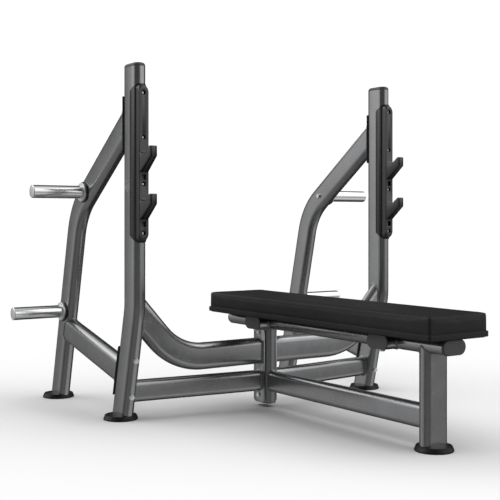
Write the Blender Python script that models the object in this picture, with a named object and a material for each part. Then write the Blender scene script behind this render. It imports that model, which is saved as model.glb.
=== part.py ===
"""Olympic bench press: a fixed flat bench bolted between two uprights with bar catches and plate horns.

Units are metres and +Z is up.  +X runs across the bench and +Y runs from the bench's free end to the rack.
The shapes below are laid out with the uprights standing on Y = 0.  One empty carries every piece and
moves them together, so that the origin ends up on the floor under the middle of the whole machine.
"""

from math import atan2, ceil, cos, pi, radians, sin, sqrt, tan

import bmesh
import bpy
from mathutils import Vector

# ---------------------------------------------------------------- driving dimensions
GAP = 0.0003  # clearance between touching pieces

MAIN_LONG = 0.100  # flat-oval main tube, overall width
MAIN_SHORT = 0.050  # flat-oval main tube, overall thickness
LIGHT_LONG = 0.080  # flat-oval light tube
LIGHT_SHORT = 0.040
WALL = 0.003  # tube wall
NOSE_STEPS = 6  # facets on each round side of a tube
BEND_RADIUS = 0.250
BEND_STEP = radians(9.0)  # largest turn per facet in a bend

UPRIGHT_X = 0.572  # centre plane of each side frame
UPRIGHT_TOP = 1.255  # where the end cap starts
UPRIGHT_BEND_Z = 0.402  # where the vertical run and the leaning run meet
LEAN = radians(13.4)  # both legs lean this much

REAR_CORNER_Y = 0.462  # where the rear leg's two straight runs meet
REAR_CORNER_Z = 0.7522
BRACE_RISE = radians(36.26)  # rise of the rear leg's upper run

TUBE_FLOOR = 0.006  # every leg tube ends this far above the floor, inside its foot
FOOT_RADIUS = 0.062
FOOT_FLARE = 0.005  # how much narrower a foot's top is than its sole
FOOT_EDGE = 0.002  # the sole's rounded edge
FOOT_HEIGHT = 0.017
FOOT_STEPS = 24
FOOT_OUTWARD = 0.006  # the four side feet sit a little outside the legs' planes
REAR_FOOT_BACK = 0.003  # and the rear ones a little behind the legs' centres
BENCH_FOOT_FORWARD = 0.004  # the bench's foot sits a little before its leg's centre

FLANGE_THICK = 0.007  # curved flanges that wrap the uprights' round rear sides
FLANGE_WRAP = radians(60)  # how far they reach to each side
FLANGE_STEPS = 4  # so their facets are the tube's
UPPER_FLANGE_Z = 1.055
UPPER_FLANGE_HALF = 0.100
LOWER_FLANGE_Z = 0.165
LOWER_FLANGE_HALF = 0.090
LOWER_BOLT_SPAN = 0.068

CROSSBAR_Z = 0.215  # upper crossbar, level run
CROSSBAR_CORNER_X = 0.403
CROSSBAR_END_Z = 0.376  # height of its centre line at the upright's inner side
LOW_TUBE_Z = 0.1005  # lower crossbars and the bench's lower tube

RAIL_BOTTOM = 0.304
RAIL_FRONT = -0.977
RAIL_REAR = 0.192
FRONT_LEG_Y = -0.892
ARM_LENGTH = 0.086  # from the bench's centre plane to the end of each stub arm's tube
ARM_Y = {"rear": -0.030, "front": -0.730}

CENTER_Y = 0.010  # the centre post stands this far behind the uprights
PLATE = 0.006  # centre side plates
CENTER_PLATE_HALF = 0.0335
CENTER_PLATE_BOTTOM = 0.019
CENTER_PLATE_CORNER = 0.012
TOP_PLATE = 0.008
TOP_PLATE_LIP = 0.003  # how far the top plate stands out around the post
CENTER_BOLT_Z = {"top": 0.287, "bottom": 0.045}

UPRIGHT_CAP_THICK = 0.017  # domed plastic tube caps
CAP_THICK = 0.008
THIN_CAP = 0.004
CAP_PLUG = 0.014
CAP_CLEARANCE = 0.0005  # between a cap's plug and the tube's wall

PAD_HALF_WIDTH = 0.125
PAD_FRONT = -1.003
PAD_REAR = 0.215
PAD_TOP = 0.431
PAD_CORNER = 0.012
PAD_CORNER_STEPS = 3
PAD_EDGE = 0.010  # the rounding of its top edge
TRIM_OUT = 0.004  # how far the pad's edge trim stands out
TRIM_BOTTOM = 0.357
TRIM_TOP = 0.375
TRIM_WALL = 0.008
TRIM_EDGE = 0.002
BOARD_THICK = 0.016

HORN_RADIUS = 0.0245
HORN_END_X = 0.806
HORN_WALL = 0.003
UPPER_HORN_RUN = 0.1178  # along the rear leg's upper run from its corner
LOWER_HORN_Z = 0.354
HORN_WASHER_RADIUS = 0.040
HORN_WASHER_THICK = 0.004
HORN_COLLAR_RADIUS = 0.036
HORN_COLLAR_THICK = 0.008
HORN_CHAMFER = 0.003
HORN_STEPS = 16

CATCH_BOTTOM = 0.637
CATCH_TOP = 1.193
CATCH_SKIN = 0.003  # how thick the catch strip is where it wraps the upright
CATCH_WRAP_Y = -0.010
CATCH_FRONT_Y = -0.067
CATCH_BAR_HALF = 0.019
CATCH_BAR_EDGE = 0.0025
CATCH_SLOPE = 0.0265  # how much the strip's ends slope from crown to skirt
CATCH_NOSE = (0.026, 0.016)  # the rounding of its front ends, along Y and Z
CATCH_SKIRT_ROUND = 0.009
HOOK_SEAT_Z = (0.947, 0.7825)
HOOK_TIP_Y = -0.137
HOOK_DEPTH = 0.069  # from a hook's seat down to its root
HOOK_ROOT_HALF = 0.0175
HOOK_TIP_HALF = 0.0140
HOOK_DISH = 0.014
POCKET_HALF = 0.0085
POCKET_DEPTH = 0.012
CATCH_SCREW_Z = (1.1595, 1.004, 0.841, 0.670)

BOLT_RADIUS = 0.005
BOLT_FLAT = 0.0085  # half the width across flats
BOLT_HEAD = 0.0065
BOLT_TAIL = 0.004  # thread left past the nut
BOLT_STEPS = 12
SCREW_RECESS_RADIUS = 0.0065
SCREW_RECESS = 0.005

MAIN_FLAT = (MAIN_LONG - MAIN_SHORT) / 2
TUBE_RADIUS = MAIN_SHORT / 2
OUTER_X = UPRIGHT_X + TUBE_RADIUS
INNER_X = UPRIGHT_X - TUBE_RADIUS
BENCH_FRONT = PAD_FRONT - TRIM_OUT
REAR_FOOT_Y = REAR_CORNER_Y + REAR_CORNER_Z * tan(LEAN) + REAR_FOOT_BACK
BENCH_REAR = REAR_FOOT_Y + FOOT_RADIUS
SHIFT_Y = -(BENCH_FRONT + BENCH_REAR) / 2

X_AXIS = Vector((1, 0, 0))
Y_AXIS = Vector((0, 1, 0))
Z_AXIS = Vector((0, 0, 1))
SIDES = {"left": -1, "right": 1}

# colour, roughness, metallic
FINISHES = {
    "paint": ((0.115, 0.118, 0.123), 0.38, 0.55),
    "plate_paint": ((0.060, 0.062, 0.066), 0.45, 0.40),
    "cap_plastic": ((0.040, 0.041, 0.043), 0.50, 0.0),
    "catch_plastic": ((0.020, 0.020, 0.021), 0.42, 0.0),
    "chrome": ((0.80, 0.81, 0.83), 0.12, 1.0),
    "zinc": ((0.62, 0.63, 0.65), 0.28, 1.0),
    "rubber": ((0.022, 0.022, 0.022), 0.75, 0.0),
    "vinyl": ((0.024, 0.024, 0.026), 0.48, 0.0),
    "board": ((0.33, 0.23, 0.13), 0.80, 0.0),
}


# ---------------------------------------------------------------- outlines
def arc_points(center, radius, start, end, steps):
    """Points along a circle from angle start to angle end, both included."""
    angles = [start + (end - start) * i / steps for i in range(steps + 1)]
    return [(center[0] + radius * cos(a), center[1] + radius * sin(a)) for a in angles]


def flat_oval(long, short):
    """A flat-oval section: two half circles joined by straight sides, long axis along the first number."""
    radius = short / 2
    flat = (long - short) / 2
    points = arc_points((flat, 0), radius, -pi / 2, pi / 2, NOSE_STEPS)
    points += arc_points((-flat, 0), radius, pi / 2, 3 * pi / 2, NOSE_STEPS)
    return points


def circle(radius, steps):
    return [(radius * cos(2 * pi * i / steps), radius * sin(2 * pi * i / steps)) for i in range(steps)]


def hexagon(half_flat, steps):
    """A hexagon sampled at a multiple of six angles, so that it can join a circle of as many steps."""
    points = []
    for i in range(steps):
        angle = 2 * pi * i / steps
        radius = half_flat / cos((angle + pi / 6) % (pi / 3) - pi / 6)
        points.append((radius * cos(angle), radius * sin(angle)))
    return points


def rounded_rectangle(half_a, half_b, corner, steps):
    points = []
    centers = ((1, 1), (-1, 1), (-1, -1), (1, -1))
    for quarter, (sign_a, sign_b) in enumerate(centers):
        center = (sign_a * (half_a - corner), sign_b * (half_b - corner))
        start = quarter * pi / 2
        points += arc_points(center, corner, start, start + pi / 2, steps)
    return points


# ---------------------------------------------------------------- solids
def mesh_object(name, verts, faces, finish=None):
    """One closed body with its faces turned outwards, carried by the empty."""
    mesh = bpy.data.meshes.new(name)
    mesh.from_pydata([tuple(v) for v in verts], [], faces)
    bm = bmesh.new()
    bm.from_mesh(mesh)
    bmesh.ops.recalc_face_normals(bm, faces=bm.faces)
    bm.to_mesh(mesh)
    bm.free()
    obj = bpy.data.objects.new(name, mesh)
    bpy.context.scene.collection.objects.link(obj)
    obj.parent = CARRIER
    if finish:
        mesh.shade_smooth()
        mesh.set_sharp_from_angle(angle=radians(35))
        paint(obj, finish)
    return obj


def paint(obj, finish):
    color, roughness, metallic = FINISHES[finish]
    material = bpy.data.materials.new(obj.name + "_" + finish)
    material.use_nodes = True
    shader = material.node_tree.nodes["Principled BSDF"]
    shader.inputs["Base Color"].default_value = (*color, 1.0)
    shader.inputs["Roughness"].default_value = roughness
    shader.inputs["Metallic"].default_value = metallic
    obj.data.materials.append(material)


def loft(rings, closed=False, base=0):
    """Faces that join equal rings in order, with their first vertex at base; an open loft's ends are covered."""
    count = len(rings[0])
    spans = len(rings) if closed else len(rings) - 1
    faces = []
    for i in range(spans):
        low = base + i * count
        high = base + ((i + 1) % len(rings)) * count
        for k in range(count):
            n = (k + 1) % count
            faces.append((low + k, low + n, high + n, high + k))
    if not closed:
        last = base + (len(rings) - 1) * count
        faces.append(tuple(range(base, base + count)))
        faces.append(tuple(range(last, last + count)))
    return faces


def stack(layers, origin, axis, across):
    """Rings of one outline after another along an axis: (distance, outline) each."""
    axis = axis.normalized()
    across = across.normalized()
    third = axis.cross(across)
    return [[origin + axis * d + across * a + third * b for a, b in outline] for d, outline in layers]


def lofted(name, layers, origin, axis, across, finish=None):
    return ring_object(name, stack(layers, origin, axis, across), finish=finish)


def ring_object(name, rings, closed=False, finish=None):
    return mesh_object(name, [v for r in rings for v in r], loft(rings, closed), finish)


def bent_path(corners, radius):
    """A path through straight runs with an arc at each inner corner: (point, direction) pairs."""
    path = [(corners[0], (corners[1] - corners[0]).normalized())]
    for before, corner, after in zip(corners, corners[1:], corners[2:]):
        along = (corner - before).normalized()
        away = (after - corner).normalized()
        turn = along.angle(away)
        inward = (away - along * along.dot(away)).normalized()
        center = corner - along * radius * tan(turn / 2) + inward * radius
        steps = ceil(turn / BEND_STEP)
        for i in range(steps + 1):
            a = turn * i / steps
            point = center - inward * radius * cos(a) + along * radius * sin(a)
            path.append((point, along * cos(a) + inward * sin(a)))
    path.append((corners[-1], (corners[-1] - corners[-2]).normalized()))
    return path


def swept(path, side, long, short, grow=0.0, long_in_plane=True, planes=(None, None)):
    """Rings of a flat-oval section along a path that lies in the plane square to side.

    planes holds, for the start and the end, a (point, normal) that the end ring is slid onto.
    """
    rings = []
    for point, direction in path:
        across = side.cross(direction).normalized()
        first, second = (across, side) if long_in_plane else (side, across)
        outline = flat_oval(long + 2 * grow, short + 2 * grow)
        rings.append([point + first * a + second * b for a, b in outline])
    for index, plane in ((0, planes[0]), (-1, planes[1])):
        if plane:
            direction = path[index][1]
            slope = direction.dot(plane[1])
            rings[index] = [v + direction * ((plane[0] - v).dot(plane[1]) / slope) for v in rings[index]]
    return rings


def tube(name, corners, side, size, planes=(None, None), long_in_plane=True, radius=BEND_RADIUS):
    """A hollow flat-oval tube, open at both ends."""
    path = bent_path(corners, radius)
    outer = swept(path, side, *size, 0.0, long_in_plane, planes)
    inner = swept(path, side, *size, -WALL, long_in_plane, planes)
    return ring_object(name, outer + inner[::-1], closed=True, finish="paint")


def cutter(obj):
    obj.hide_render = True
    obj.display_type = "WIRE"
    return obj


def tube_cutter(name, corners, side, size, long_in_plane=True, radius=BEND_RADIUS, grow=GAP):
    """The filled shape of a tube, grown by a gap, to shape what meets it."""
    rings = swept(bent_path(corners, radius), side, *size, grow, long_in_plane)
    return cutter(ring_object(name, rings))


def boolean(obj, tool, operation="DIFFERENCE"):
    modifier = obj.modifiers.new(tool.name, "BOOLEAN")
    modifier.operation = operation
    modifier.solver = "EXACT"
    modifier.object = tool


def prism(name, outline, low, high, finish=None, half_width=None):
    """An outline of (Y, Z) points extruded along X.  half_width may shape it by Y instead."""
    rings = []
    for x, sign in ((low, -1), (high, 1)):
        middle = (low + high) / 2
        rings.append([Vector((middle + sign * half_width(y) if half_width else x, y, z)) for y, z in outline])
    return ring_object(name, rings, finish=finish)


def drill(name, holes):
    """Separate cylinders that cut holes: (start, end, radius) each."""
    verts = []
    faces = []
    for start, end, radius in holes:
        axis = end - start
        across = X_AXIS if abs(axis.normalized().x) < 0.5 else Y_AXIS
        outline = circle(radius, BOLT_STEPS)
        rings = stack(((0.0, outline), (axis.length, outline)), start, axis, across)
        faces += loft(rings, base=len(verts))
        verts += [v for r in rings for v in r]
    return cutter(mesh_object(name, verts, faces))


# ---------------------------------------------------------------- fasteners
def build_bolt(name, seat, inward, shank):
    """A hexagon bolt: the head's under side is at seat and the shank runs inward."""
    layers = (
        (shank, circle(BOLT_RADIUS, BOLT_STEPS)),
        (0.0, circle(BOLT_RADIUS, BOLT_STEPS)),
        (0.0, hexagon(BOLT_FLAT, BOLT_STEPS)),
        (-BOLT_HEAD, hexagon(BOLT_FLAT, BOLT_STEPS)),
    )
    across = X_AXIS if abs(inward.x) < 0.5 else Y_AXIS
    return lofted(name, layers, seat, inward, across, "zinc")


def bolt_hole(start, end):
    return start, end, BOLT_RADIUS + GAP


# ---------------------------------------------------------------- side frames
def leg_center(z):
    """Y of the upright's leaning lower run at a height."""
    return (UPRIGHT_BEND_Z - z) * tan(LEAN)


def rear_center(z):
    """Y of the rear leg's lower run at a height."""
    return REAR_CORNER_Y + (REAR_CORNER_Z - z) * tan(LEAN)


LEG_UP = Vector((0, -sin(LEAN), cos(LEAN)))  # along both leaning legs
LEG_BACK = Vector((0, cos(LEAN), sin(LEAN)))  # square to them, to the rear
BRACE_UP = Vector((0, -cos(BRACE_RISE), sin(BRACE_RISE)))
MAIN = (MAIN_LONG, MAIN_SHORT)
LIGHT = (LIGHT_LONG, LIGHT_SHORT)
FLANGE_BACK = MAIN_LONG / 2 + GAP + FLANGE_THICK  # from a tube's centre line to a flange's crown
FLOOR_CUT = (Vector((0, 0, TUBE_FLOOR)), Z_AXIS)


def upright_corners(x):
    top = Vector((x, 0, UPRIGHT_TOP))
    bend = Vector((x, 0, UPRIGHT_BEND_Z))
    foot = Vector((x, leg_center(0.0), 0.0))
    return [foot, bend, top]


def rear_leg_corners(x):
    corner = Vector((x, REAR_CORNER_Y, REAR_CORNER_Z))
    foot = Vector((x, rear_center(0.0), 0.0))
    return [foot, corner, corner + BRACE_UP * (REAR_CORNER_Y / cos(BRACE_RISE))]


def lower_flange_center(x):
    return Vector((x, leg_center(LOWER_FLANGE_Z), LOWER_FLANGE_Z))


def lower_bolt_points(x):
    """Where the two lower flange bolts cross the leg's centre line."""
    center = lower_flange_center(x)
    return {"top": center + LEG_UP * LOWER_BOLT_SPAN, "bottom": center - LEG_UP * LOWER_BOLT_SPAN}


def horn_points(x):
    upper = Vector((x, REAR_CORNER_Y, REAR_CORNER_Z)) + BRACE_UP * UPPER_HORN_RUN
    lower = Vector((x, rear_center(LOWER_HORN_Z), LOWER_HORN_Z))
    return {"upper": upper, "lower": lower}


def lower_bolt_drill(name, x):
    reach = LEG_BACK * (FLANGE_BACK + BOLT_HEAD)
    return drill(name, [bolt_hole(p - reach, p + reach) for p in lower_bolt_points(x).values()])


def build_lower_bolts(side, x):
    seat = MAIN_LONG / 2 + GAP
    shank = seat + FLANGE_BACK + BOLT_HEAD + BOLT_TAIL
    for where, point in lower_bolt_points(x).items():
        build_bolt("_".join((side, "flange_bolt", where)), point - LEG_BACK * seat, LEG_BACK, shank)


def build_upright(side, x):
    upright = tube(side + "_upright", upright_corners(x), X_AXIS, MAIN, (FLOOR_CUT, None))
    boolean(upright, lower_bolt_drill(side + "_upright_holes", x))


def build_rear_leg(side, x, flanged_upright):
    leg = tube(side + "_rear_leg", rear_leg_corners(x), X_AXIS, MAIN, (FLOOR_CUT, None))
    boolean(leg, flanged_upright)


def saddle(name, half_length, center, along, back):
    """A curved plate around the round rear side of a tube whose centre line passes through center."""
    inner = TUBE_RADIUS + GAP
    nose = (0.0, MAIN_FLAT)
    outline = arc_points(nose, inner + FLANGE_THICK, pi / 2 - FLANGE_WRAP, pi / 2 + FLANGE_WRAP, FLANGE_STEPS)
    outline += arc_points(nose, inner, pi / 2 + FLANGE_WRAP, pi / 2 - FLANGE_WRAP, FLANGE_STEPS)
    rings = [
        [center + along * end + X_AXIS * a + back * b for a, b in outline] for end in (-half_length, half_length)
    ]
    return ring_object(name, rings, finish="plate_paint")


def build_flanges(side, x):
    saddle(side + "_upper_flange", UPPER_FLANGE_HALF, Vector((x, 0, UPPER_FLANGE_Z)), Z_AXIS, Y_AXIS)
    lower = saddle(side + "_lower_flange", LOWER_FLANGE_HALF, lower_flange_center(x), LEG_UP, LEG_BACK)
    boolean(lower, lower_bolt_drill(side + "_lower_flange_holes", x))


def build_side_link(side, x, flanged_upright):
    start = lower_flange_center(x)
    rear = Vector((x, rear_center(0.0), 0.0))
    reach = (rear - start).dot(LEG_BACK)
    link = tube(side + "_side_link", [start, start + LEG_BACK * reach], X_AXIS, MAIN)
    boolean(link, flanged_upright)
    boolean(link, tube_cutter(side + "_rear_leg_shape", rear_leg_corners(x), X_AXIS, MAIN))


# ---------------------------------------------------------------- centre
CENTER_FACE = TUBE_RADIUS + GAP + PLATE  # outer face of the side plates


def build_upper_crossbar(side, sign, upright_shape):
    """Level near the centre, then bent up to the upright; its plane turns a little, from CENTER_Y to 0."""
    start = Vector((sign * (CENTER_FACE + GAP), CENTER_Y, CROSSBAR_Z))
    end = Vector((sign * INNER_X, 0, CROSSBAR_END_Z))
    across = Vector((end.x - start.x, end.y - start.y, 0)).normalized()
    corner = start + across * ((sign * CROSSBAR_CORNER_X - start.x) / across.x)
    past = (end - corner) * ((UPRIGHT_X - CROSSBAR_CORNER_X) / (INNER_X - CROSSBAR_CORNER_X))
    cuts = ((start, X_AXIS), (Vector((sign * UPRIGHT_X, 0, 0)), X_AXIS))
    side_axis = Z_AXIS.cross(across) * -sign
    bar = tube(side + "_upper_crossbar", [start, corner, corner + past], side_axis, MAIN, cuts)
    boolean(bar, upright_shape)


def build_lower_crossbar(side, sign, upright_shape):
    start = Vector((sign * (CENTER_FACE + GAP), CENTER_Y, LOW_TUBE_Z))
    end = Vector((sign * UPRIGHT_X, leg_center(LOW_TUBE_Z), LOW_TUBE_Z))
    flat = (end - start).normalized()
    cuts = ((start, X_AXIS), (end, X_AXIS))
    bar = tube(side + "_lower_crossbar", [start, end], Z_AXIS.cross(flat), LIGHT, cuts)
    boolean(bar, upright_shape)


def post_top():
    return RAIL_BOTTOM - TOP_PLATE - 2 * GAP


def post_corners(low):
    return [Vector((0, CENTER_Y, low)), Vector((0, CENTER_Y, post_top()))]


def build_center_post():
    post = tube("center_post", post_corners(CENTER_PLATE_BOTTOM), X_AXIS, MAIN)
    boolean(post, center_drill("center_post_holes"))
    bottom = Vector((0, CENTER_Y, CENTER_PLATE_BOTTOM - GAP))
    lofted("center_post_cap", cap_layers(MAIN, THIN_CAP), bottom, -Z_AXIS, Y_AXIS, "cap_plastic")
    outline = flat_oval(MAIN_LONG + 2 * TOP_PLATE_LIP, MAIN_SHORT + 2 * TOP_PLATE_LIP)
    low = Vector((0, CENTER_Y, post_top() + GAP))
    lofted("center_post_top_plate", ((0.0, outline), (TOP_PLATE, outline)), low, Z_AXIS, Y_AXIS, "paint")


def center_drill(name):
    reach = CENTER_FACE + BOLT_HEAD
    holes = []
    for z in CENTER_BOLT_Z.values():
        holes.append(bolt_hole(Vector((-reach, CENTER_Y, z)), Vector((reach, CENTER_Y, z))))
    return drill(name, holes)


def build_center_flange(side, sign):
    half = CENTER_PLATE_HALF - CENTER_PLATE_CORNER
    low = CENTER_PLATE_BOTTOM + CENTER_PLATE_CORNER
    top = post_top()
    outline = arc_points((CENTER_Y - half, low), CENTER_PLATE_CORNER, pi, 1.5 * pi, 3)
    outline += arc_points((CENTER_Y + half, low), CENTER_PLATE_CORNER, -pi / 2, 0, 3)
    outline += [(CENTER_Y + CENTER_PLATE_HALF, top), (CENTER_Y - CENTER_PLATE_HALF, top)]
    plate = prism(
        side + "_center_flange", outline, sign * (TUBE_RADIUS + GAP), sign * CENTER_FACE, "paint"
    )
    boolean(plate, center_drill(side + "_center_flange_holes"))


def build_center_bolts():
    face = CENTER_FACE + GAP
    shank = 2 * face + BOLT_HEAD + BOLT_TAIL
    for where, z in CENTER_BOLT_Z.items():
        build_bolt("center_bolt_" + where, Vector((-face, CENTER_Y, z)), X_AXIS, shank)


# ---------------------------------------------------------------- tube caps and feet
CAP_RIM = 0.25  # share of a cap's height that is straight
DOME_STEPS = 3


def cap_layers(size, thick):
    """A cap with a plug that fills the tube's mouth, a straight rim and a rounded crown."""
    long, short = size
    inside = 2 * (WALL + CAP_CLEARANCE)
    plug = flat_oval(long - inside, short - inside)
    layers = [(-CAP_PLUG, plug), (0.0, plug), (0.0, flat_oval(long, short))]
    dome = thick * (1 - CAP_RIM)
    for i in range(DOME_STEPS + 1):
        a = pi / 2 * i / DOME_STEPS
        inset = 2 * dome * (1 - cos(a))
        layers.append((thick - dome + dome * sin(a), flat_oval(long - inset, short - inset)))
    return layers


def build_foot(name, x, y, tool):
    """A round rubber foot that flares towards its sole, with a pocket that the leg stands in."""
    layers = (
        (0.0, circle(FOOT_RADIUS - FOOT_EDGE / 2, FOOT_STEPS)),
        (FOOT_EDGE, circle(FOOT_RADIUS, FOOT_STEPS)),
        (2 * FOOT_EDGE, circle(FOOT_RADIUS, FOOT_STEPS)),
        (FOOT_HEIGHT - FOOT_EDGE, circle(FOOT_RADIUS - FOOT_FLARE, FOOT_STEPS)),
        (FOOT_HEIGHT, circle(FOOT_RADIUS - FOOT_FLARE - FOOT_EDGE, FOOT_STEPS)),
    )
    foot = lofted(name, layers, Vector((x, y, 0)), Z_AXIS, X_AXIS, "rubber")
    boolean(foot, tool)


def foot_pocket(name, corners, side, long_in_plane=True):
    """The end of a leg, grown by the gap and stopped just below the leg's own end."""
    first = (corners[1] - corners[0]).normalized()
    path = [(corners[0], first), (corners[0] + first * 3 * FOOT_HEIGHT, first)]
    floor = (Vector((0, 0, TUBE_FLOOR - GAP)), Z_AXIS)
    rings = swept(path, side, *MAIN, GAP, long_in_plane, (floor, None))
    return cutter(ring_object(name, rings))


def build_side_feet(side, sign, x):
    foot_x = x + sign * FOOT_OUTWARD
    pocket = foot_pocket(side + "_front_pocket", upright_corners(x), X_AXIS)
    build_foot(side + "_front_foot", foot_x, leg_center(0.0), pocket)
    pocket = foot_pocket(side + "_rear_pocket", rear_leg_corners(x), X_AXIS)
    build_foot(side + "_rear_foot", foot_x, REAR_FOOT_Y, pocket)


# ---------------------------------------------------------------- bench
RAIL_MIDDLE = RAIL_BOTTOM + TUBE_RADIUS


def rail_corners():
    return [Vector((0, RAIL_FRONT, RAIL_MIDDLE)), Vector((0, RAIL_REAR, RAIL_MIDDLE))]


def front_leg_corners():
    return [Vector((0, FRONT_LEG_Y, 0)), Vector((0, FRONT_LEG_Y, RAIL_MIDDLE))]


def build_rail():
    tube("bench_rail", rail_corners(), X_AXIS, MAIN, long_in_plane=False)
    layers = cap_layers(MAIN, CAP_THICK)
    front = Vector((0, RAIL_FRONT - GAP, RAIL_MIDDLE))
    rear = Vector((0, RAIL_REAR + GAP, RAIL_MIDDLE))
    lofted("rail_front_cap", layers, front, -Y_AXIS, X_AXIS, "cap_plastic")
    lofted("rail_rear_cap", layers, rear, Y_AXIS, X_AXIS, "cap_plastic")
    return tube_cutter("rail_shape", rail_corners(), X_AXIS, MAIN, long_in_plane=False)


def build_front_leg(rail_shape):
    cuts = (FLOOR_CUT, None)
    leg = tube("front_leg", front_leg_corners(), X_AXIS, MAIN, cuts, long_in_plane=False)
    boolean(leg, rail_shape)
    pocket = foot_pocket("front_leg_pocket", front_leg_corners(), X_AXIS, long_in_plane=False)
    build_foot("front_leg_foot", 0.0, FRONT_LEG_Y - BENCH_FOOT_FORWARD, pocket)


def build_bench_lower_tube():
    start = Vector((0, FRONT_LEG_Y + TUBE_RADIUS + GAP, LOW_TUBE_Z))
    end = Vector((0, CENTER_Y, LOW_TUBE_Z))
    lower = tube("bench_lower_tube", [start, end], X_AXIS, LIGHT)
    boolean(lower, tube_cutter("post_shape", post_corners(0.0), X_AXIS, MAIN))


def arm_points():
    """The four stub arms: (name, sign, centre of the arm's end)."""
    points = []
    for where, y in ARM_Y.items():
        for side, sign in SIDES.items():
            points.append((where + "_" + side + "_arm", sign, Vector((sign * ARM_LENGTH, y, RAIL_MIDDLE))))
    return points


def build_arms(rail_shape):
    for name, sign, end in arm_points():
        inner = Vector((sign * MAIN_FLAT, end.y, end.z))
        arm = tube(name, [inner, end], Y_AXIS, MAIN, long_in_plane=False)
        boolean(arm, rail_shape)
        outward = X_AXIS * sign
        layers = cap_layers(MAIN, THIN_CAP)
        lofted(name + "_cap", layers, end + outward * GAP, outward, Y_AXIS, "cap_plastic")


def pad_ring(grow):
    """The pad's outline, made larger or smaller all round."""
    half_length = (PAD_REAR - PAD_FRONT) / 2
    return rounded_rectangle(PAD_HALF_WIDTH + grow, half_length + grow, PAD_CORNER + grow, PAD_CORNER_STEPS)


def build_pad():
    middle = Vector((0, (PAD_FRONT + PAD_REAR) / 2, 0))
    layers = (
        (TRIM_TOP + GAP, pad_ring(0.0)),
        (PAD_TOP - PAD_EDGE, pad_ring(0.0)),
        (PAD_TOP - 0.3 * PAD_EDGE, pad_ring(-0.3 * PAD_EDGE)),
        (PAD_TOP, pad_ring(-PAD_EDGE)),
    )
    lofted("pad", layers, middle, Z_AXIS, X_AXIS, "vinyl")

    outer = pad_ring(TRIM_OUT)
    inner = pad_ring(TRIM_OUT - TRIM_WALL)
    layers = (
        (TRIM_BOTTOM, pad_ring(TRIM_OUT - TRIM_EDGE)),
        (TRIM_BOTTOM + 2 * TRIM_EDGE, outer),
        (TRIM_TOP, outer),
        (TRIM_TOP, inner),
        (TRIM_BOTTOM, inner),
    )
    ring_object("pad_trim", stack(layers, middle, Z_AXIS, X_AXIS), closed=True, finish="catch_plastic")

    inside = pad_ring(TRIM_OUT - TRIM_WALL - GAP)
    low = RAIL_BOTTOM + MAIN_SHORT + GAP
    lofted("pad_board", ((low, inside), (low + BOARD_THICK, inside)), middle, Z_AXIS, X_AXIS, "board")


# ---------------------------------------------------------------- plate horns
def build_horns(side, sign, x):
    """Chrome plate horns, each a tube with a closed end that stands in a stepped collar on the leg."""
    base = TUBE_RADIUS + GAP
    washer = base + HORN_WASHER_THICK
    collar = washer + HORN_COLLAR_THICK
    length = HORN_END_X - UPRIGHT_X
    inside = HORN_RADIUS - HORN_WALL
    mouth = HORN_RADIUS + GAP
    horn_profile = (
        (length - HORN_WALL, inside),
        (base, inside),
        (base, HORN_RADIUS),
        (length - HORN_CHAMFER, HORN_RADIUS),
        (length, HORN_RADIUS - HORN_CHAMFER),
    )
    collar_profile = (
        (base, mouth),
        (base, HORN_WASHER_RADIUS),
        (washer, HORN_WASHER_RADIUS),
        (washer, HORN_COLLAR_RADIUS),
        (collar, HORN_COLLAR_RADIUS),
        (collar, mouth),
    )
    for where, center in horn_points(x).items():
        name = "_".join((side, where, "horn"))
        outward = X_AXIS * sign
        lofted(name, turned(horn_profile), center, outward, Y_AXIS, "chrome")
        rings = stack(turned(collar_profile), center, outward, Y_AXIS)
        ring_object(name + "_collar", rings, closed=True, finish="chrome")


def turned(profile):
    return [(distance, circle(radius, HORN_STEPS)) for distance, radius in profile]


# ---------------------------------------------------------------- bar catches
def catch_section():
    """The catch strip's (X, Y) outline: a skirt over the tube's nose with a bar standing out of it."""
    nose = -MAIN_FLAT
    inner = TUBE_RADIUS + GAP
    outer = inner + CATCH_SKIN
    meet = atan2(sqrt(outer * outer - CATCH_BAR_HALF * CATCH_BAR_HALF), CATCH_BAR_HALF)
    left = [(-inner, CATCH_WRAP_Y), (-outer, CATCH_WRAP_Y)]
    left += arc_points((0, nose), outer, pi, pi + meet, 3)
    left += [(-CATCH_BAR_HALF, CATCH_FRONT_Y + CATCH_BAR_EDGE), (-CATCH_BAR_HALF + CATCH_BAR_EDGE, CATCH_FRONT_Y)]
    right = [(-a, b) for a, b in left[::-1]]
    return left + right + arc_points((0, nose), inner, 0, -pi, NOSE_STEPS)


def catch_crown():
    """(Y, drop) from the skirt's rear edge over the crown to the front face."""
    depth, height = CATCH_NOSE
    peak = CATCH_FRONT_Y + depth
    rear = CATCH_WRAP_Y
    crown = [(rear, CATCH_SLOPE + CATCH_SKIRT_ROUND)]
    crown += [(rear - CATCH_SKIRT_ROUND / 3, CATCH_SLOPE + CATCH_SKIRT_ROUND / 4)]
    crown += [(rear - CATCH_SKIRT_ROUND, CATCH_SLOPE - CATCH_SKIRT_ROUND / 2)]
    for i in range(4):
        a = pi / 2 * i / 3
        crown.append((peak - depth * sin(a), height * (1 - cos(a))))
    return crown


def catch_side_outline():
    """(Y, Z) limits of the strip, with sloped skirts and rounded front ends."""
    crown = catch_crown()
    behind = (CATCH_WRAP_Y + CATCH_SKIN, crown[0][1])
    before = (CATCH_FRONT_Y - CATCH_SKIN, crown[-1][1])
    outline = [(y, CATCH_TOP - drop) for y, drop in [behind] + crown + [before]]
    outline += [(y, CATCH_BOTTOM + drop) for y, drop in [before] + crown[::-1] + [behind]]
    return outline


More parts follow.
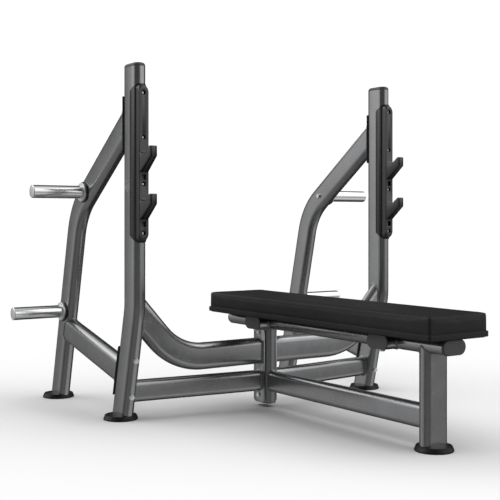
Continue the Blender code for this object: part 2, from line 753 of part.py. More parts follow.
def hook_outline(seat):
    """(Y, Z) outline of one hook: a dished seat, a raised lip and a braced under side."""
    face = CATCH_FRONT_Y
    root = face + 0.005
    outline = [(root, seat - HOOK_DEPTH), (root, seat + HOOK_DISH)]
    outline += arc_points((face - HOOK_DISH, seat + HOOK_DISH), HOOK_DISH, 0, -pi / 2, 3)
    outline += [
        (face - 0.037, seat + 0.005),
        (HOOK_TIP_Y + 0.0085, seat + 0.0235),
        (HOOK_TIP_Y + 0.003, seat + 0.0245),
        (HOOK_TIP_Y, seat + 0.0215),
        (HOOK_TIP_Y, seat - 0.011),
        (face - 0.003, seat - HOOK_DEPTH + 0.006),
    ]
    return outline


def hook_half_width(y):
    reach = (CATCH_FRONT_Y - y) / (CATCH_FRONT_Y - HOOK_TIP_Y)
    return HOOK_ROOT_HALF - (HOOK_ROOT_HALF - HOOK_TIP_HALF) * max(0.0, reach)


def build_catch(side, x):
    section = catch_section()
    over = 0.002  # how far the raw strip runs past its trimmed ends
    rings = [[Vector((x + a, b, z)) for a, b in section] for z in (CATCH_BOTTOM - over, CATCH_TOP + over)]
    catch = ring_object(side + "_catch_strip", rings, finish="catch_plastic")
    reach = MAIN_SHORT
    limits = prism(side + "_catch_limits", catch_side_outline(), x - reach, x + reach)
    boolean(catch, cutter(limits), "INTERSECT")
    holes = []
    front = CATCH_FRONT_Y - HOOK_DISH
    for z in CATCH_SCREW_Z:
        holes.append((Vector((x, front, z)), Vector((x, CATCH_FRONT_Y + SCREW_RECESS, z)), SCREW_RECESS_RADIUS))
    for number, seat in enumerate(HOOK_SEAT_Z):
        hook = prism(
            side + "_hook_shape_" + str(number), hook_outline(seat), x, x, half_width=hook_half_width
        )
        boolean(catch, cutter(hook), "UNION")
        low = seat - HOOK_DEPTH - 0.022
        high = seat - HOOK_DEPTH - 0.002
        back = CATCH_FRONT_Y + POCKET_DEPTH
        window = [(front, low), (back, low), (back, high), (front, high)]
        pocket = prism(side + "_hook_pocket_" + str(number), window, x - POCKET_HALF, x + POCKET_HALF)
        boolean(catch, cutter(pocket))
    boolean(catch, drill(side + "_catch_recesses", holes))


# ---------------------------------------------------------------- assembly
for old in list(bpy.data.objects):
    bpy.data.objects.remove(old)

CARRIER = bpy.data.objects.new("bench_press_origin", None)
CARRIER.location = (0, SHIFT_Y, 0)
bpy.context.scene.collection.objects.link(CARRIER)

for side, sign in SIDES.items():
    x = sign * UPRIGHT_X
    upright_shape = tube_cutter(side + "_upright_shape", upright_corners(x), X_AXIS, MAIN)
    flanged_upright = tube_cutter(
        side + "_flanged_upright", upright_corners(x), X_AXIS, MAIN, grow=FLANGE_THICK + 2 * GAP
    )
    build_upright(side, x)
    build_rear_leg(side, x, flanged_upright)
    build_flanges(side, x)
    build_side_link(side, x, flanged_upright)
    build_side_feet(side, sign, x)
    build_upper_crossbar(side, sign, upright_shape)
    build_lower_crossbar(side, sign, upright_shape)
    build_center_flange(side, sign)
    top = Vector((x, 0, UPRIGHT_TOP + GAP))
    lofted(side + "_upright_cap", cap_layers(MAIN, UPRIGHT_CAP_THICK), top, Z_AXIS, Y_AXIS, "cap_plastic")
    build_catch(side, x)
    build_horns(side, sign, x)
    build_lower_bolts(side, x)

build_center_post()
build_center_bolts()
rail_shape = build_rail()
build_front_leg(rail_shape)
build_bench_lower_tube()
build_arms(rail_shape)
build_pad()
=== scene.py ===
"""The looks of the olympic bench press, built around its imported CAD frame.  Metres, +Z up, +Y to the rack."""

from math import ceil, cos, pi, radians, sin, tan

import bmesh
import bpy
import numpy as np
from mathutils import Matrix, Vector, noise
from mathutils.bvhtree import BVHTree


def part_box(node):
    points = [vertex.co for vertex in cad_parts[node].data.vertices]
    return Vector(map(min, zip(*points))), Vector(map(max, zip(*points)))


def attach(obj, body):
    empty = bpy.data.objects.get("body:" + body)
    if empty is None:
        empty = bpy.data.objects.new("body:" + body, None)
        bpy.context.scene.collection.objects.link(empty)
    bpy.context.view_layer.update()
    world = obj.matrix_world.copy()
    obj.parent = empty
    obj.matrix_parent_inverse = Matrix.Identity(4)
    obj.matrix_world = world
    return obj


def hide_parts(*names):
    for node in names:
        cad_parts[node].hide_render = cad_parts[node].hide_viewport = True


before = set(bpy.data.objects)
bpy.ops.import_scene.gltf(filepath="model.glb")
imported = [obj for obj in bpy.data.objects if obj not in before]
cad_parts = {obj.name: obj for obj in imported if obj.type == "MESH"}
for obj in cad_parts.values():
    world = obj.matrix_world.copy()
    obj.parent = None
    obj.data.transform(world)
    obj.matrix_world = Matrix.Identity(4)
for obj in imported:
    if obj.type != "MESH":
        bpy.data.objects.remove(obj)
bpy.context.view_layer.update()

X_AXIS = Vector((1, 0, 0))
Y_AXIS = Vector((0, 1, 0))
Z_AXIS = Vector((0, 0, 1))
SIDES = {"left": -1, "right": 1}


def middle(node):
    low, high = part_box(node)
    return (low + high) / 2


def size(node):
    low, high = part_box(node)
    return high - low


# ---------------- sizes read from the frame
RACK_Y = middle("right_upright_cap").y  # the uprights' plane
CENTER_Y = middle("center_post").y - RACK_Y
UPRIGHT_X = middle("right_upright").x
UPRIGHT_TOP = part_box("right_upright")[1].z
TUBE_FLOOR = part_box("front_leg")[0].z
MAIN_LONG = size("center_post").y
MAIN_SHORT = size("center_post").x
LIGHT_LONG = size("bench_lower_tube").z
LIGHT_SHORT = size("bench_lower_tube").x
LOW_TUBE_Z = middle("bench_lower_tube").z
RAIL_Z = middle("bench_rail").z
FRONT_LEG_Y = middle("front_leg").y
POST_BOTTOM, POST_TOP = (corner.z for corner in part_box("center_post"))
PLATE_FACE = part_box("right_center_flange")[1].x
HORN_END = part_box("right_upper_horn")[1].x
HORN_RADIUS = size("right_upper_horn").z / 2
CATCH_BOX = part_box("right_catch_strip")
CATCH_LOW = CATCH_BOX[0].z
CATCH_HIGH = CATCH_BOX[1].z
HOOK_TIP = CATCH_BOX[0].y - RACK_Y
PAD_LOW, PAD_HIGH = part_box("pad")
TRIM_LOW, TRIM_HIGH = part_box("pad_trim")

# ---------------- sizes shared with the CAD source
WALL = 0.003
BEND_RADIUS = 0.250
LEAN = radians(13.4)
UPRIGHT_BEND_Z = 0.402
REAR_CORNER_Y = 0.462  # from the uprights' plane
REAR_CORNER_Z = 0.7522
BRACE_RISE = radians(36.26)
FLANGE_THICK = 0.007
FLANGE_WRAP = radians(62)
UPPER_FLANGE_Z = 1.055
UPPER_FLANGE_HALF = 0.100
UPPER_BOLT_SPAN = 0.079
LOWER_FLANGE_Z = 0.165
LOWER_FLANGE_HALF = 0.090
LOWER_BOLT_SPAN = 0.068
CROSSBAR_Z = 0.215
CROSSBAR_CORNER_X = 0.403
CROSSBAR_END_Z = 0.376
CENTER_BOLT_Z = {"top": 0.287, "bottom": 0.045}
UPPER_HORN_RUN = 0.1178
LOWER_HORN_Z = 0.354
CATCH_SKIN = 0.003
CATCH_WRAP_Y = -0.014
CATCH_FRONT_Y = -0.067
CATCH_BAR_HALF = 0.019
CATCH_SLOPE = 0.0265
CATCH_NOSE = (0.026, 0.016)
CATCH_SKIRT_ROUND = 0.009
HOOK_SEAT_Z = (0.947, 0.7825)
CATCH_SCREW_Z = (1.1595, 1.004, 0.841, 0.670)
# Caps: (height, edge rounding)
UPRIGHT_CAP = (0.0138, 0.0115)
RAIL_CAP = (0.008, 0.0055)
THIN_CAP = (0.004, 0.0030)

# ---------------- fineness
GAP = 0.0003
NOSE_STEPS = 18  # facets on each round side of a tube
BEND_STEP = radians(3.0)
TURN_STEPS = 64
SHARP = radians(38)

MAIN = (MAIN_LONG, MAIN_SHORT)
LIGHT = (LIGHT_LONG, LIGHT_SHORT)
TUBE_RADIUS = MAIN_SHORT / 2
MAIN_FLAT = (MAIN_LONG - MAIN_SHORT) / 2
FLANGE_BACK = MAIN_LONG / 2 + GAP + FLANGE_THICK
LEG_UP = Vector((0, -sin(LEAN), cos(LEAN)))
LEG_BACK = Vector((0, cos(LEAN), sin(LEAN)))
BRACE_UP = Vector((0, -cos(BRACE_RISE), sin(BRACE_RISE)))


# ---------------- materials
def node(tree, kind, inputs=None, **settings):
    """A shader node with its settings; an input is a value or the socket that feeds it."""
    made = tree.nodes.new("ShaderNode" + kind)
    for key, value in settings.items():
        setattr(made, key, value)
    for key, value in (inputs or {}).items():
        if isinstance(value, bpy.types.NodeSocket):
            tree.links.new(value, made.inputs[key])
        else:
            made.inputs[key].default_value = value
    return made


def ramp(tree, source, low, high, out_low, out_high):
    inputs = {"Value": source, "From Min": low, "From Max": high, "To Min": out_low, "To Max": out_high}
    return node(tree, "MapRange", inputs).outputs["Result"]


def calc(tree, operation, *values):
    """The result of a Math node."""
    return node(tree, "Math", dict(enumerate(values)), operation=operation).outputs[0]


def blend_colors(tree, factor, first, second):
    return node(tree, "Mix", {0: factor, 6: first, 7: second}, data_type="RGBA").outputs[2]


def texture_space(tree, stretch=(1, 1, 1)):
    place = node(tree, "TexCoord").outputs["Object"]
    return node(tree, "Mapping", {"Vector": place, "Scale": stretch}).outputs["Vector"]


def noise_value(tree, place, scale, detail=3.0, rough=0.55):
    inputs = {"Vector": place, "Scale": scale, "Detail": detail, "Roughness": rough}
    return node(tree, "TexNoise", inputs).outputs["Fac"]


def material_tree(name):
    made = bpy.data.materials.new(name)
    made.use_nodes = True
    return made, made.node_tree


def material(
    name, color, roughness, metallic=0.0, grain=900.0, depth=0.00012, tone=0.10, swing=0.05, wear_and_edge_highlight=0.0,
    wear_and_highlight_color=(0.30, 0.30, 0.31, 1.0), cells=0.0, fleck=0.0, settings=None,
):
    """One procedural finish.

    tone varies the colour in broad patches, swing the roughness, grain and depth make the fine relief,
    cells adds the pebbles of moulded plastic or leather, fleck the sparkle of metal flakes, and the edge
    setting gives raised edges another colour in patches, partly real rubbed wear and partly a painted edge
    highlight.
    """
    made, tree = material_tree(name)
    shader = tree.nodes["Principled BSDF"]
    place = texture_space(tree)
    broad = noise_value(tree, place, 9.0, 4.0)
    fine = noise_value(tree, place, grain, 4.0, 0.65)
    dark = [c * (1 - tone) for c in color[:3]] + [1.0]
    light = [min(1.0, c * (1 + tone)) for c in color[:3]] + [1.0]
    tint = blend_colors(tree, ramp(tree, broad, 0.3, 0.7, 0.0, 1.0), dark, light)
    if fleck:
        spark = noise_value(tree, place, grain * 2.2, 1.0)
        bright = [min(1.0, c * 2.6 + 0.05) for c in color[:3]] + [1.0]
        tint = blend_colors(tree, ramp(tree, spark, 0.60, 0.80, 0.0, fleck), tint, bright)
    # Painted edge highlight, partly real rubbed wear: raised edges take the edge colour in noisy patches.
    if wear_and_edge_highlight:
        edge = node(tree, "NewGeometry").outputs["Pointiness"]
        rubbed_and_lit_edge = ramp(tree, edge, 0.53, 0.62, 0.0, wear_and_edge_highlight)
        patch = ramp(tree, noise_value(tree, place, 60.0, 5.0), 0.35, 0.75, 0.0, 1.0)
        amount = calc(tree, "MULTIPLY", rubbed_and_lit_edge, patch)
        tint = blend_colors(tree, amount, tint, wear_and_highlight_color)
    tree.links.new(tint, shader.inputs["Base Color"])
    smudge = noise_value(tree, place, 23.0, 5.0, 0.6)
    rough = ramp(tree, smudge, 0.3, 0.7, max(0.02, roughness - swing), min(1.0, roughness + swing))
    tree.links.new(rough, shader.inputs["Roughness"])
    height = fine
    if cells:
        inputs = {"Vector": place, "Scale": cells, "Smoothness": 0.6}
        pebbles = node(tree, "TexVoronoi", inputs, feature="SMOOTH_F1")
        height = calc(tree, "SUBTRACT", fine, pebbles.outputs["Distance"])
    bump = node(tree, "Bump", {"Height": height, "Strength": 1.0, "Distance": depth})
    tree.links.new(bump.outputs["Normal"], shader.inputs["Normal"])
    shader.inputs["Metallic"].default_value = metallic
    for key, value in (settings or {}).items():
        shader.inputs[key].default_value = value
    return made


def wood_material(name):
    """Plywood stained nearly black, with its long grain showing."""
    made, tree = material_tree(name)
    shader = tree.nodes["Principled BSDF"]
    place = texture_space(tree, (38.0, 2.2, 38.0))
    rings = noise_value(tree, place, 2.4, 6.0, 0.6)
    fibres = noise_value(tree, texture_space(tree, (900.0, 14.0, 900.0)), 1.0, 3.0)
    ring_share = ramp(tree, rings, 0.35, 0.65, 0.0, 1.0)
    tint = blend_colors(tree, ring_share, (0.020, 0.015, 0.011, 1), (0.038, 0.029, 0.021, 1))
    tint = blend_colors(tree, ramp(tree, fibres, 0.3, 0.7, 0.0, 0.35), tint, (0.012, 0.009, 0.007, 1))
    tree.links.new(tint, shader.inputs["Base Color"])
    tree.links.new(ramp(tree, fibres, 0.3, 0.7, 0.6, 0.85), shader.inputs["Roughness"])
    bump = node(tree, "Bump", {"Height": fibres, "Strength": 0.6, "Distance": 0.0003})
    tree.links.new(bump.outputs["Normal"], shader.inputs["Normal"])
    return made


# The edge settings below recolour raised edges: partly real wear, partly a painted edge highlight.
FINISH = {
    "frame_paint": material(
        "frame_powder_coat", (0.385, 0.388, 0.395, 1), 0.25,
        metallic=0.90, grain=1400, depth=0.00003, tone=0.05, swing=0.04, fleck=0.05, wear_and_edge_highlight=0.25,
    ),
    "plate_paint": material(
        "flange_paint", (0.040, 0.041, 0.043, 1), 0.42, metallic=0.4, depth=0.00008, fleck=0.2, wear_and_edge_highlight=0.3
    ),
    "cap_plastic": material(
        "cap_plastic", (0.105, 0.106, 0.108, 1), 0.42,
        grain=1500, depth=0.00010, cells=900, wear_and_edge_highlight=0.15,
    ),
    "catch_plastic": material(
        "catch_plastic", (0.012, 0.012, 0.0125, 1), 0.32,
        grain=1300, depth=0.00006, cells=800, wear_and_edge_highlight=0.25, wear_and_highlight_color=(0.06, 0.06, 0.06, 1),
        settings={"Specular IOR Level": 0.9},
    ),
    "chrome": material(
        "chrome", (0.97, 0.975, 0.98, 1), 0.19, metallic=1.0, grain=900, depth=0.000004, tone=0.02, swing=0.02
    ),
    "zinc": material(
        "zinc_plate", (0.88, 0.89, 0.90, 1), 0.40, metallic=1.0, grain=2200, depth=0.00003, tone=0.08
    ),
    "rubber": material(
        "rubber", (0.007, 0.007, 0.007, 1), 0.50, grain=1600, depth=0.00014, cells=1100, tone=0.18, swing=0.10
    ),
    "vinyl": material(
        "pad_vinyl", (0.025, 0.025, 0.026, 1), 0.58,
        grain=700, depth=0.00028, cells=520, tone=0.08, settings={"Specular IOR Level": 0.30},
    ),
    "board": wood_material("plywood"),
    "end_steel": material(
        "satin_horn_end", (0.88, 0.89, 0.90, 1), 0.52,
        metallic=1.0, grain=1500, depth=0.00002, tone=0.04,
    ),
}


# ---------------- outlines
def arc_points(center, radius, start, end, steps):
    angles = [start + (end - start) * i / steps for i in range(steps + 1)]
    return [(center[0] + radius * cos(a), center[1] + radius * sin(a)) for a in angles]


def quarter(steps):
    """Angles over a quarter turn, both ends included."""
    return [pi / 2 * i / steps for i in range(steps + 1)]


def flat_oval(long, short, steps=NOSE_STEPS):
    radius = short / 2
    flat = (long - short) / 2
    points = arc_points((flat, 0), radius, -pi / 2, pi / 2, steps)
    points += arc_points((-flat, 0), radius, pi / 2, 3 * pi / 2, steps)
    return points


def circle(radius, steps=TURN_STEPS):
    return [(radius * cos(2 * pi * i / steps), radius * sin(2 * pi * i / steps)) for i in range(steps)]


def rounded_rectangle(half_a, half_b, corner, steps=8):
    points = []
    for quarter, (sign_a, sign_b) in enumerate(((1, 1), (-1, 1), (-1, -1), (1, -1))):
        center = (sign_a * (half_a - corner), sign_b * (half_b - corner))
        points += arc_points(center, corner, quarter * pi / 2, (quarter + 1) * pi / 2, steps)
    return points


def chamfered_hexagon(half_flat, limit, steps=48):
    """A hexagon whose corners are turned down to a circle of radius limit."""
    points = []
    for i in range(steps):
        angle = 2 * pi * i / steps
        radius = min(limit, half_flat / cos((angle + pi / 6) % (pi / 3) - pi / 6))
        points.append((radius * cos(angle), radius * sin(angle)))
    return points


# ---------------- meshes
def mesh_object(name, verts, faces, finish=None, sharp=SHARP):
    mesh = bpy.data.meshes.new(name)
    mesh.from_pydata([tuple(v) for v in verts], [], faces)
    bm = bmesh.new()
    bm.from_mesh(mesh)
    bmesh.ops.remove_doubles(bm, verts=bm.verts, dist=1e-6)
    bmesh.ops.recalc_face_normals(bm, faces=bm.faces)
    bm.to_mesh(mesh)
    bm.free()
    obj = bpy.data.objects.new(name, mesh)
    bpy.context.scene.collection.objects.link(obj)
    shade(obj, sharp)
    if finish:
        mesh.materials.append(FINISH[finish])
    return obj


def shade(obj, sharp=SHARP):
    obj.data.shade_smooth()
    obj.data.set_sharp_from_angle(angle=sharp)


def ring_faces(rings, closed=False, base=0):
    count = len(rings[0])
    spans = len(rings) if closed else len(rings) - 1
    faces = []
    for i in range(spans):
        low = base + i * count
        high = base + ((i + 1) % len(rings)) * count
        for k in range(count):
            n = (k + 1) % count
            faces.append((low + k, low + n, high + n, high + k))
    if not closed:
        last = base + (len(rings) - 1) * count
        faces.append(tuple(range(base, base + count)))
        faces.append(tuple(range(last, last + count)))
    return faces


class Parts:
    """Several closed bodies gathered into one mesh."""

    def __init__(self):
        self.verts = []
        self.faces = []

    def add(self, rings, closed=False):
        self.faces += ring_faces(rings, closed, len(self.verts))
        self.verts += [v for ring in rings for v in ring]

    def build(self, name, finish, sharp=SHARP):
        return mesh_object(name, self.verts, self.faces, finish, sharp)


def stack(layers, origin, axis, across):
    axis = axis.normalized()
    across = (across - axis * across.dot(axis)).normalized()
    third = axis.cross(across)
    return [[origin + axis * d + across * a + third * b for a, b in outline] for d, outline in layers]


def ring_object(name, rings, finish, closed=False, sharp=SHARP):
    parts = Parts()
    parts.add(rings, closed)
    return parts.build(name, finish, sharp)


def lofted(name, layers, origin, axis, across, finish, closed=False, sharp=SHARP):
    return ring_object(name, stack(layers, origin, axis, across), finish, closed, sharp)


def at(x, y, z):
    """A point given from the uprights' plane."""
    return Vector((x, RACK_Y + y, z))


def add_piece(obj, slot, *nodes):
    """Hands a finished piece to the frame: it rides on the one body and stands for its CAD nodes."""
    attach(obj, "root")
    if nodes:
        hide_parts(*nodes)
    return obj


# ---------------- tubes
def bent_path(corners, radius=BEND_RADIUS):
    path = [(corners[0], (corners[1] - corners[0]).normalized())]
    for before, corner, after in zip(corners, corners[1:], corners[2:]):
        along = (corner - before).normalized()
        away = (after - corner).normalized()
        turn = along.angle(away)
        inward = (away - along * along.dot(away)).normalized()
        center = corner - along * radius * tan(turn / 2) + inward * radius
        steps = ceil(turn / BEND_STEP)
        for i in range(steps + 1):
            a = turn * i / steps
            point = center - inward * radius * cos(a) + along * radius * sin(a)
            path.append((point, along * cos(a) + inward * sin(a)))
    path.append((corners[-1], (corners[-1] - corners[-2]).normalized()))
    return path


def swept(path, side, tube_size, grow, long_in_plane):
    rings = []
    for point, direction in path:
        across = side.cross(direction).normalized()
        first, second = (across, side) if long_in_plane else (side, across)
        outline = flat_oval(tube_size[0] + 2 * grow, tube_size[1] + 2 * grow)
        rings.append([point + first * a + second * b for a, b in outline])
    return rings


def plane_cut(point, normal):
    """Ends a tube on a plane."""
    return lambda v, d: v + d * ((point - v).dot(normal) / d.dot(normal))


REACH = 0.16  # how far before a tube's end the search for the other tube's surface starts


def cope_cut(target, sink=0.0):
    """Ends a tube on another piece's surface, sunk into its wall by sink."""
    mesh = target.data
    tree = BVHTree.FromPolygons([v.co for v in mesh.vertices], [tuple(p.vertices) for p in mesh.polygons])

    def cut(v, d):
        hit = tree.ray_cast(v - d * REACH, d, 2 * REACH)[0]
        return hit + d * sink if hit else v

    return cut


def trim_ends(rings, path, cuts):
    for index, cut, sense in ((0, cuts[0], -1), (-1, cuts[1], 1)):
        if cut:
            direction = path[index][1] * sense
            rings[index] = [cut(v, direction) for v in rings[index]]
    return rings


def tube(node_name, corners, side, tube_size, cuts=(None, None), long_in_plane=True, suffix="_tube"):
    """A hollow tube with its two ends cut."""
    path = bent_path(corners)
    outer = trim_ends(swept(path, side, tube_size, 0.0, long_in_plane), path, cuts)
    inner = trim_ends(swept(path, side, tube_size, -WALL, long_in_plane), path, cuts)
    obj = ring_object(node_name + suffix, outer + inner[::-1], "frame_paint", closed=True)
    return add_piece(obj, "frame_paint", node_name)


def tube_edge(corners, side, tube_size, cut, end, long_in_plane=True):
    """The line where a tube's outer skin meets what it is cut on; end is 0 or -1."""
    path = bent_path(corners)
    rings = swept(path, side, tube_size, 0.0, long_in_plane)
    direction = path[end][1] * (1 if end else -1)
    return [cut(v, direction) for v in rings[end]]


BEAD_PITCH = 0.0045  # one weld ripple
BEAD_STEPS = 4  # rings for each ripple
BEAD_SIDES = 10


def bead_rings(line, up, radius=0.0034):
    """A weld bead along a closed line: overlapping ripples of a small round section."""
    points = np.array([tuple(p) for p in line])
    loop = np.vstack([points, points[:1]])
    run = np.concatenate([[0], np.cumsum(np.linalg.norm(np.diff(loop, axis=0), axis=1))])
    count = max(8, round(run[-1] / BEAD_PITCH)) * BEAD_STEPS
    at_run = np.linspace(0, run[-1], count, endpoint=False)
    even = np.stack([np.interp(at_run, run, loop[:, k]) for k in range(3)], axis=1)
    tangent = np.roll(even, -1, axis=0) - np.roll(even, 1, axis=0)
    rings = []
    for i in range(count):
        along = Vector(tangent[i]).normalized()
        first = (up - along * up.dot(along)).normalized()
        second = along.cross(first)
        phase = (i % BEAD_STEPS) / BEAD_STEPS
        uneven = noise.noise(Vector((i * 0.31, radius * 50, 0)))
        swell = radius * (0.86 + 0.20 * sin(pi * phase) + 0.05 * uneven)
        center = Vector(even[i])
        turns = [2 * pi * k / BEAD_SIDES for k in range(BEAD_SIDES)]
        rings.append([center + first * swell * cos(t) + second * swell * sin(t) for t in turns])
    return rings


def weld(name, seams):
    """Weld beads, painted over: (line, up direction) each."""
    parts = Parts()
    for line, up in seams:
        parts.add(bead_rings(line, up), closed=True)
    return add_piece(parts.build(name, "frame_paint", radians(60)), "frame_paint")


# ---------------- fasteners
HEX_LAYERS = 5


def hex_body(height, half_flat):
    """Layers of a hexagon head or nut from its seat: a washer face, flats and a coned top."""
    corner = half_flat / cos(pi / 6)
    face = half_flat * 0.97
    layers = [(0.0, circle(face, 48)), (0.0006, circle(face, 48))]
    layers.append((0.0006, chamfered_hexagon(half_flat, corner)))
    cone = 0.0016
    for i in range(HEX_LAYERS + 1):
        share = i / HEX_LAYERS
        limit = corner - (corner - face) * share
        layers.append((height - cone * (1 - share), chamfered_hexagon(half_flat, limit)))
    layers.append((height, circle(face * 0.90, 48)))
    return layers


def thread_layers(start, end, radius):
    """A threaded tail: shallow rings with a coned tip."""
    pitch = 0.0015
    places = []
    for i in range(ceil((end - start - 0.001) / pitch)):
        low = start + i * pitch
        places += [(low, 0.88), (low + pitch / 2, 1)]
    places += [(end - 0.0008, 0.88), (end, 0.68)]
    return [(d, circle(radius * share, 32)) for d, share in places]


def washer_layers(thick, inner, outer):
    edge = 0.0003
    places = [(0.0, inner), (0.0, outer - edge), (edge, outer), (thick - edge, outer)]
    places += [(thick, outer - edge), (thick, inner)]
    return [(height, circle(radius, 48)) for height, radius in places]


BOLT_RADIUS = 0.005
BOLT_FLAT = 0.0085
BOLT_HEAD = 0.0065
WASHER = 0.0016


def add_fasteners(parts, name, *nodes):
    return add_piece(parts.build(name, "zinc"), "zinc", *nodes)


def across_of(axis):
    return X_AXIS if abs(axis.x) < 0.5 else Y_AXIS


def head_parts(parts, seat, outward, height=BOLT_HEAD):
    """A flat washer on seat with a hexagon of that height on it."""
    across = across_of(outward)
    washer = washer_layers(WASHER, BOLT_RADIUS, BOLT_FLAT * 1.22)
    parts.add(stack(washer, seat, outward, across), closed=True)
    parts.add(stack(hex_body(height, BOLT_FLAT), seat + outward * WASHER, outward, across))


def bolt_parts(parts, seat, inward, shank, head=BOLT_HEAD):
    """A bolt whose head stands on seat."""
    head_parts(parts, seat, -inward, head)
    radius = BOLT_RADIUS - 0.0002
    core = [(-WASHER, circle(radius, 32))] + thread_layers(shank - 0.016, shank, radius)
    parts.add(stack(core, seat, inward, across_of(inward)))


def bolt_stack(name, seat, inward, grip, nodes=(), head=BOLT_HEAD):
    """Bolt, washers and nut through a grip of that thickness."""
    shank = grip + 2 * WASHER + BOLT_HEAD + 0.004
    parts = Parts()
    bolt_parts(parts, seat, inward, shank, head)
    add_fasteners(parts, name, *nodes)
    nut = Parts()
    head_parts(nut, seat + inward * grip, inward)
    add_fasteners(nut, name + "_nut")


# ---------------- side frames
def leg_center(z):
    return (UPRIGHT_BEND_Z - z) * tan(LEAN)


def rear_center(z):
    return REAR_CORNER_Y + (REAR_CORNER_Z - z) * tan(LEAN)


def upright_corners(x):
    return [at(x, leg_center(TUBE_FLOOR), TUBE_FLOOR), at(x, 0, UPRIGHT_BEND_Z), at(x, 0, UPRIGHT_TOP)]


def rear_leg_corners(x):
    corner = at(x, REAR_CORNER_Y, REAR_CORNER_Z)
    top = corner + BRACE_UP * (REAR_CORNER_Y / cos(BRACE_RISE))
    return [at(x, rear_center(TUBE_FLOOR), TUBE_FLOOR), corner, top]


FLOOR_CUT = plane_cut(Vector((0, 0, TUBE_FLOOR)), Z_AXIS)


def cap_layers(tube_size, thick, rounding):
    """A plug cap: a rim with a small shadow gap, a rounded edge and a slightly domed crown."""
    long, short = tube_size
    inside = 2 * (WALL + 0.0004)
    plug = flat_oval(long - inside, short - inside)
    layers = [(-0.012, plug), (0.0002, plug), (0.0002, flat_oval(long - 0.0010, short - 0.0010))]
    layers.append((0.0007, flat_oval(long, short)))
    dome = 0.04 * thick
    start = thick - rounding - dome
    for a in quarter(12):
        inset = 2 * rounding * (1 - cos(a))
        layers.append((start + rounding * sin(a), flat_oval(long - inset, short - inset)))
    left = short - 2 * rounding
    for share in (0.35, 0.65, 0.9):
        inset = 2 * rounding + left * share
        layers.append((thick - dome * (1 - share) ** 2, flat_oval(long - inset, short - inset)))
    return layers


def build_cap(name, node_name, tube_size, shape, origin, axis, across):
    obj = lofted(name, cap_layers(tube_size, *shape), origin, axis, across, "cap_plastic", sharp=radians(50))
    return add_piece(obj, "cap_plastic", node_name)


def saddle(node_name, half_length, center, along, back):
    """A curved flange around the round rear side of a tube whose centre line passes through center."""
    inner = TUBE_RADIUS + GAP
    nose = (0.0, MAIN_FLAT)
    outline = arc_points(nose, inner + FLANGE_THICK, pi / 2 - FLANGE_WRAP, pi / 2 + FLANGE_WRAP, 28)
    outline += arc_points(nose, inner, pi / 2 + FLANGE_WRAP, pi / 2 - FLANGE_WRAP, 28)
    ends = (-half_length, half_length)
    rings = [[center + along * d + X_AXIS * a + back * b for a, b in outline] for d in ends]
    obj = ring_object(node_name + "_plate", rings, "plate_paint", sharp=radians(30))
    bevel_edges(obj, 0.0010, 2, radians(60))
    return add_piece(obj, "plate_paint", node_name)


def bevel_edges(obj, width, segments, angle):
    modifier = obj.modifiers.new("edges", "BEVEL")
    modifier.width = width
    modifier.segments = segments
    modifier.limit_method = "ANGLE"
    modifier.angle_limit = angle
    apply_modifiers(obj)
    shade(obj, SHARP)


def apply_modifiers(obj):
    bpy.context.view_layer.update()
    graph = bpy.context.evaluated_depsgraph_get()
    baked = bpy.data.meshes.new_from_object(obj.evaluated_get(graph), depsgraph=graph)
    old = obj.data
    obj.modifiers.clear()
    obj.data = baked
    bpy.data.meshes.remove(old)


def build_side(side, sign):
    x = sign * UPRIGHT_X
    post = upright_corners(x)
    upright = tube(side + "_upright", post, X_AXIS, MAIN, (FLOOR_CUT, None))
    build_cap(side + "_upright_end_cap", side + "_upright_cap", MAIN, UPRIGHT_CAP, post[-1], Z_AXIS, Y_AXIS)
    skin = swept(bent_path(post), X_AXIS, MAIN, FLANGE_THICK + GAP, True)
    flange_shape = ring_object("flange_shape", skin, None)
    flange_cope = cope_cut(flange_shape)
    bpy.data.objects.remove(flange_shape)
    leg = rear_leg_corners(x)
    rear = tube(side + "_rear_leg", leg, X_AXIS, MAIN, (FLOOR_CUT, flange_cope))
    seams = [(tube_edge(leg, X_AXIS, MAIN, flange_cope, -1), Y_AXIS)]

    center = at(x, 0, UPPER_FLANGE_Z)
    saddle(side + "_upper_flange", UPPER_FLANGE_HALF, center, Z_AXIS, Y_AXIS)
    foot = at(x, leg_center(LOWER_FLANGE_Z), LOWER_FLANGE_Z)
    saddle(side + "_lower_flange", LOWER_FLANGE_HALF, foot, LEG_UP, LEG_BACK)

    reach = (at(x, rear_center(0), 0) - foot).dot(LEG_BACK)
    link = [foot, foot + LEG_BACK * reach]
    rear_cope = cope_cut(rear)
    tube(side + "_side_link", link, X_AXIS, MAIN, (flange_cope, rear_cope))
    for cut, end in ((rear_cope, -1), (flange_cope, 0)):
        seams.append((tube_edge(link, X_AXIS, MAIN, cut, end), LEG_BACK))

    for where, span in (("top", LOWER_BOLT_SPAN), ("bottom", -LOWER_BOLT_SPAN)):
        seat = foot + LEG_UP * span - LEG_BACK * MAIN_LONG / 2
        grip = MAIN_LONG / 2 + FLANGE_BACK - 0.0008
        name = f"{side}_lower_flange_bolt_{where}"
        bolt_stack(name, seat, LEG_BACK, grip, [f"{side}_flange_bolt_{where}"])
    for where, span in (("top", UPPER_BOLT_SPAN), ("bottom", -UPPER_BOLT_SPAN)):
        bolt = Parts()
        seat = at(x, FLANGE_BACK - 0.0008, UPPER_FLANGE_Z + span)
        bolt_parts(bolt, seat, -Y_AXIS, 0.040)
        add_fasteners(bolt, f"{side}_upper_flange_bolt_{where}")
    return upright, seams


# ---------------- feet
FOOT_RADIUS = size("front_leg_foot").x / 2
FOOT_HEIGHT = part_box("front_leg_foot")[1].z
FOOT_FLARE = 0.0045
FOOT_RIM = 0.0022  # rounding of its upper edge


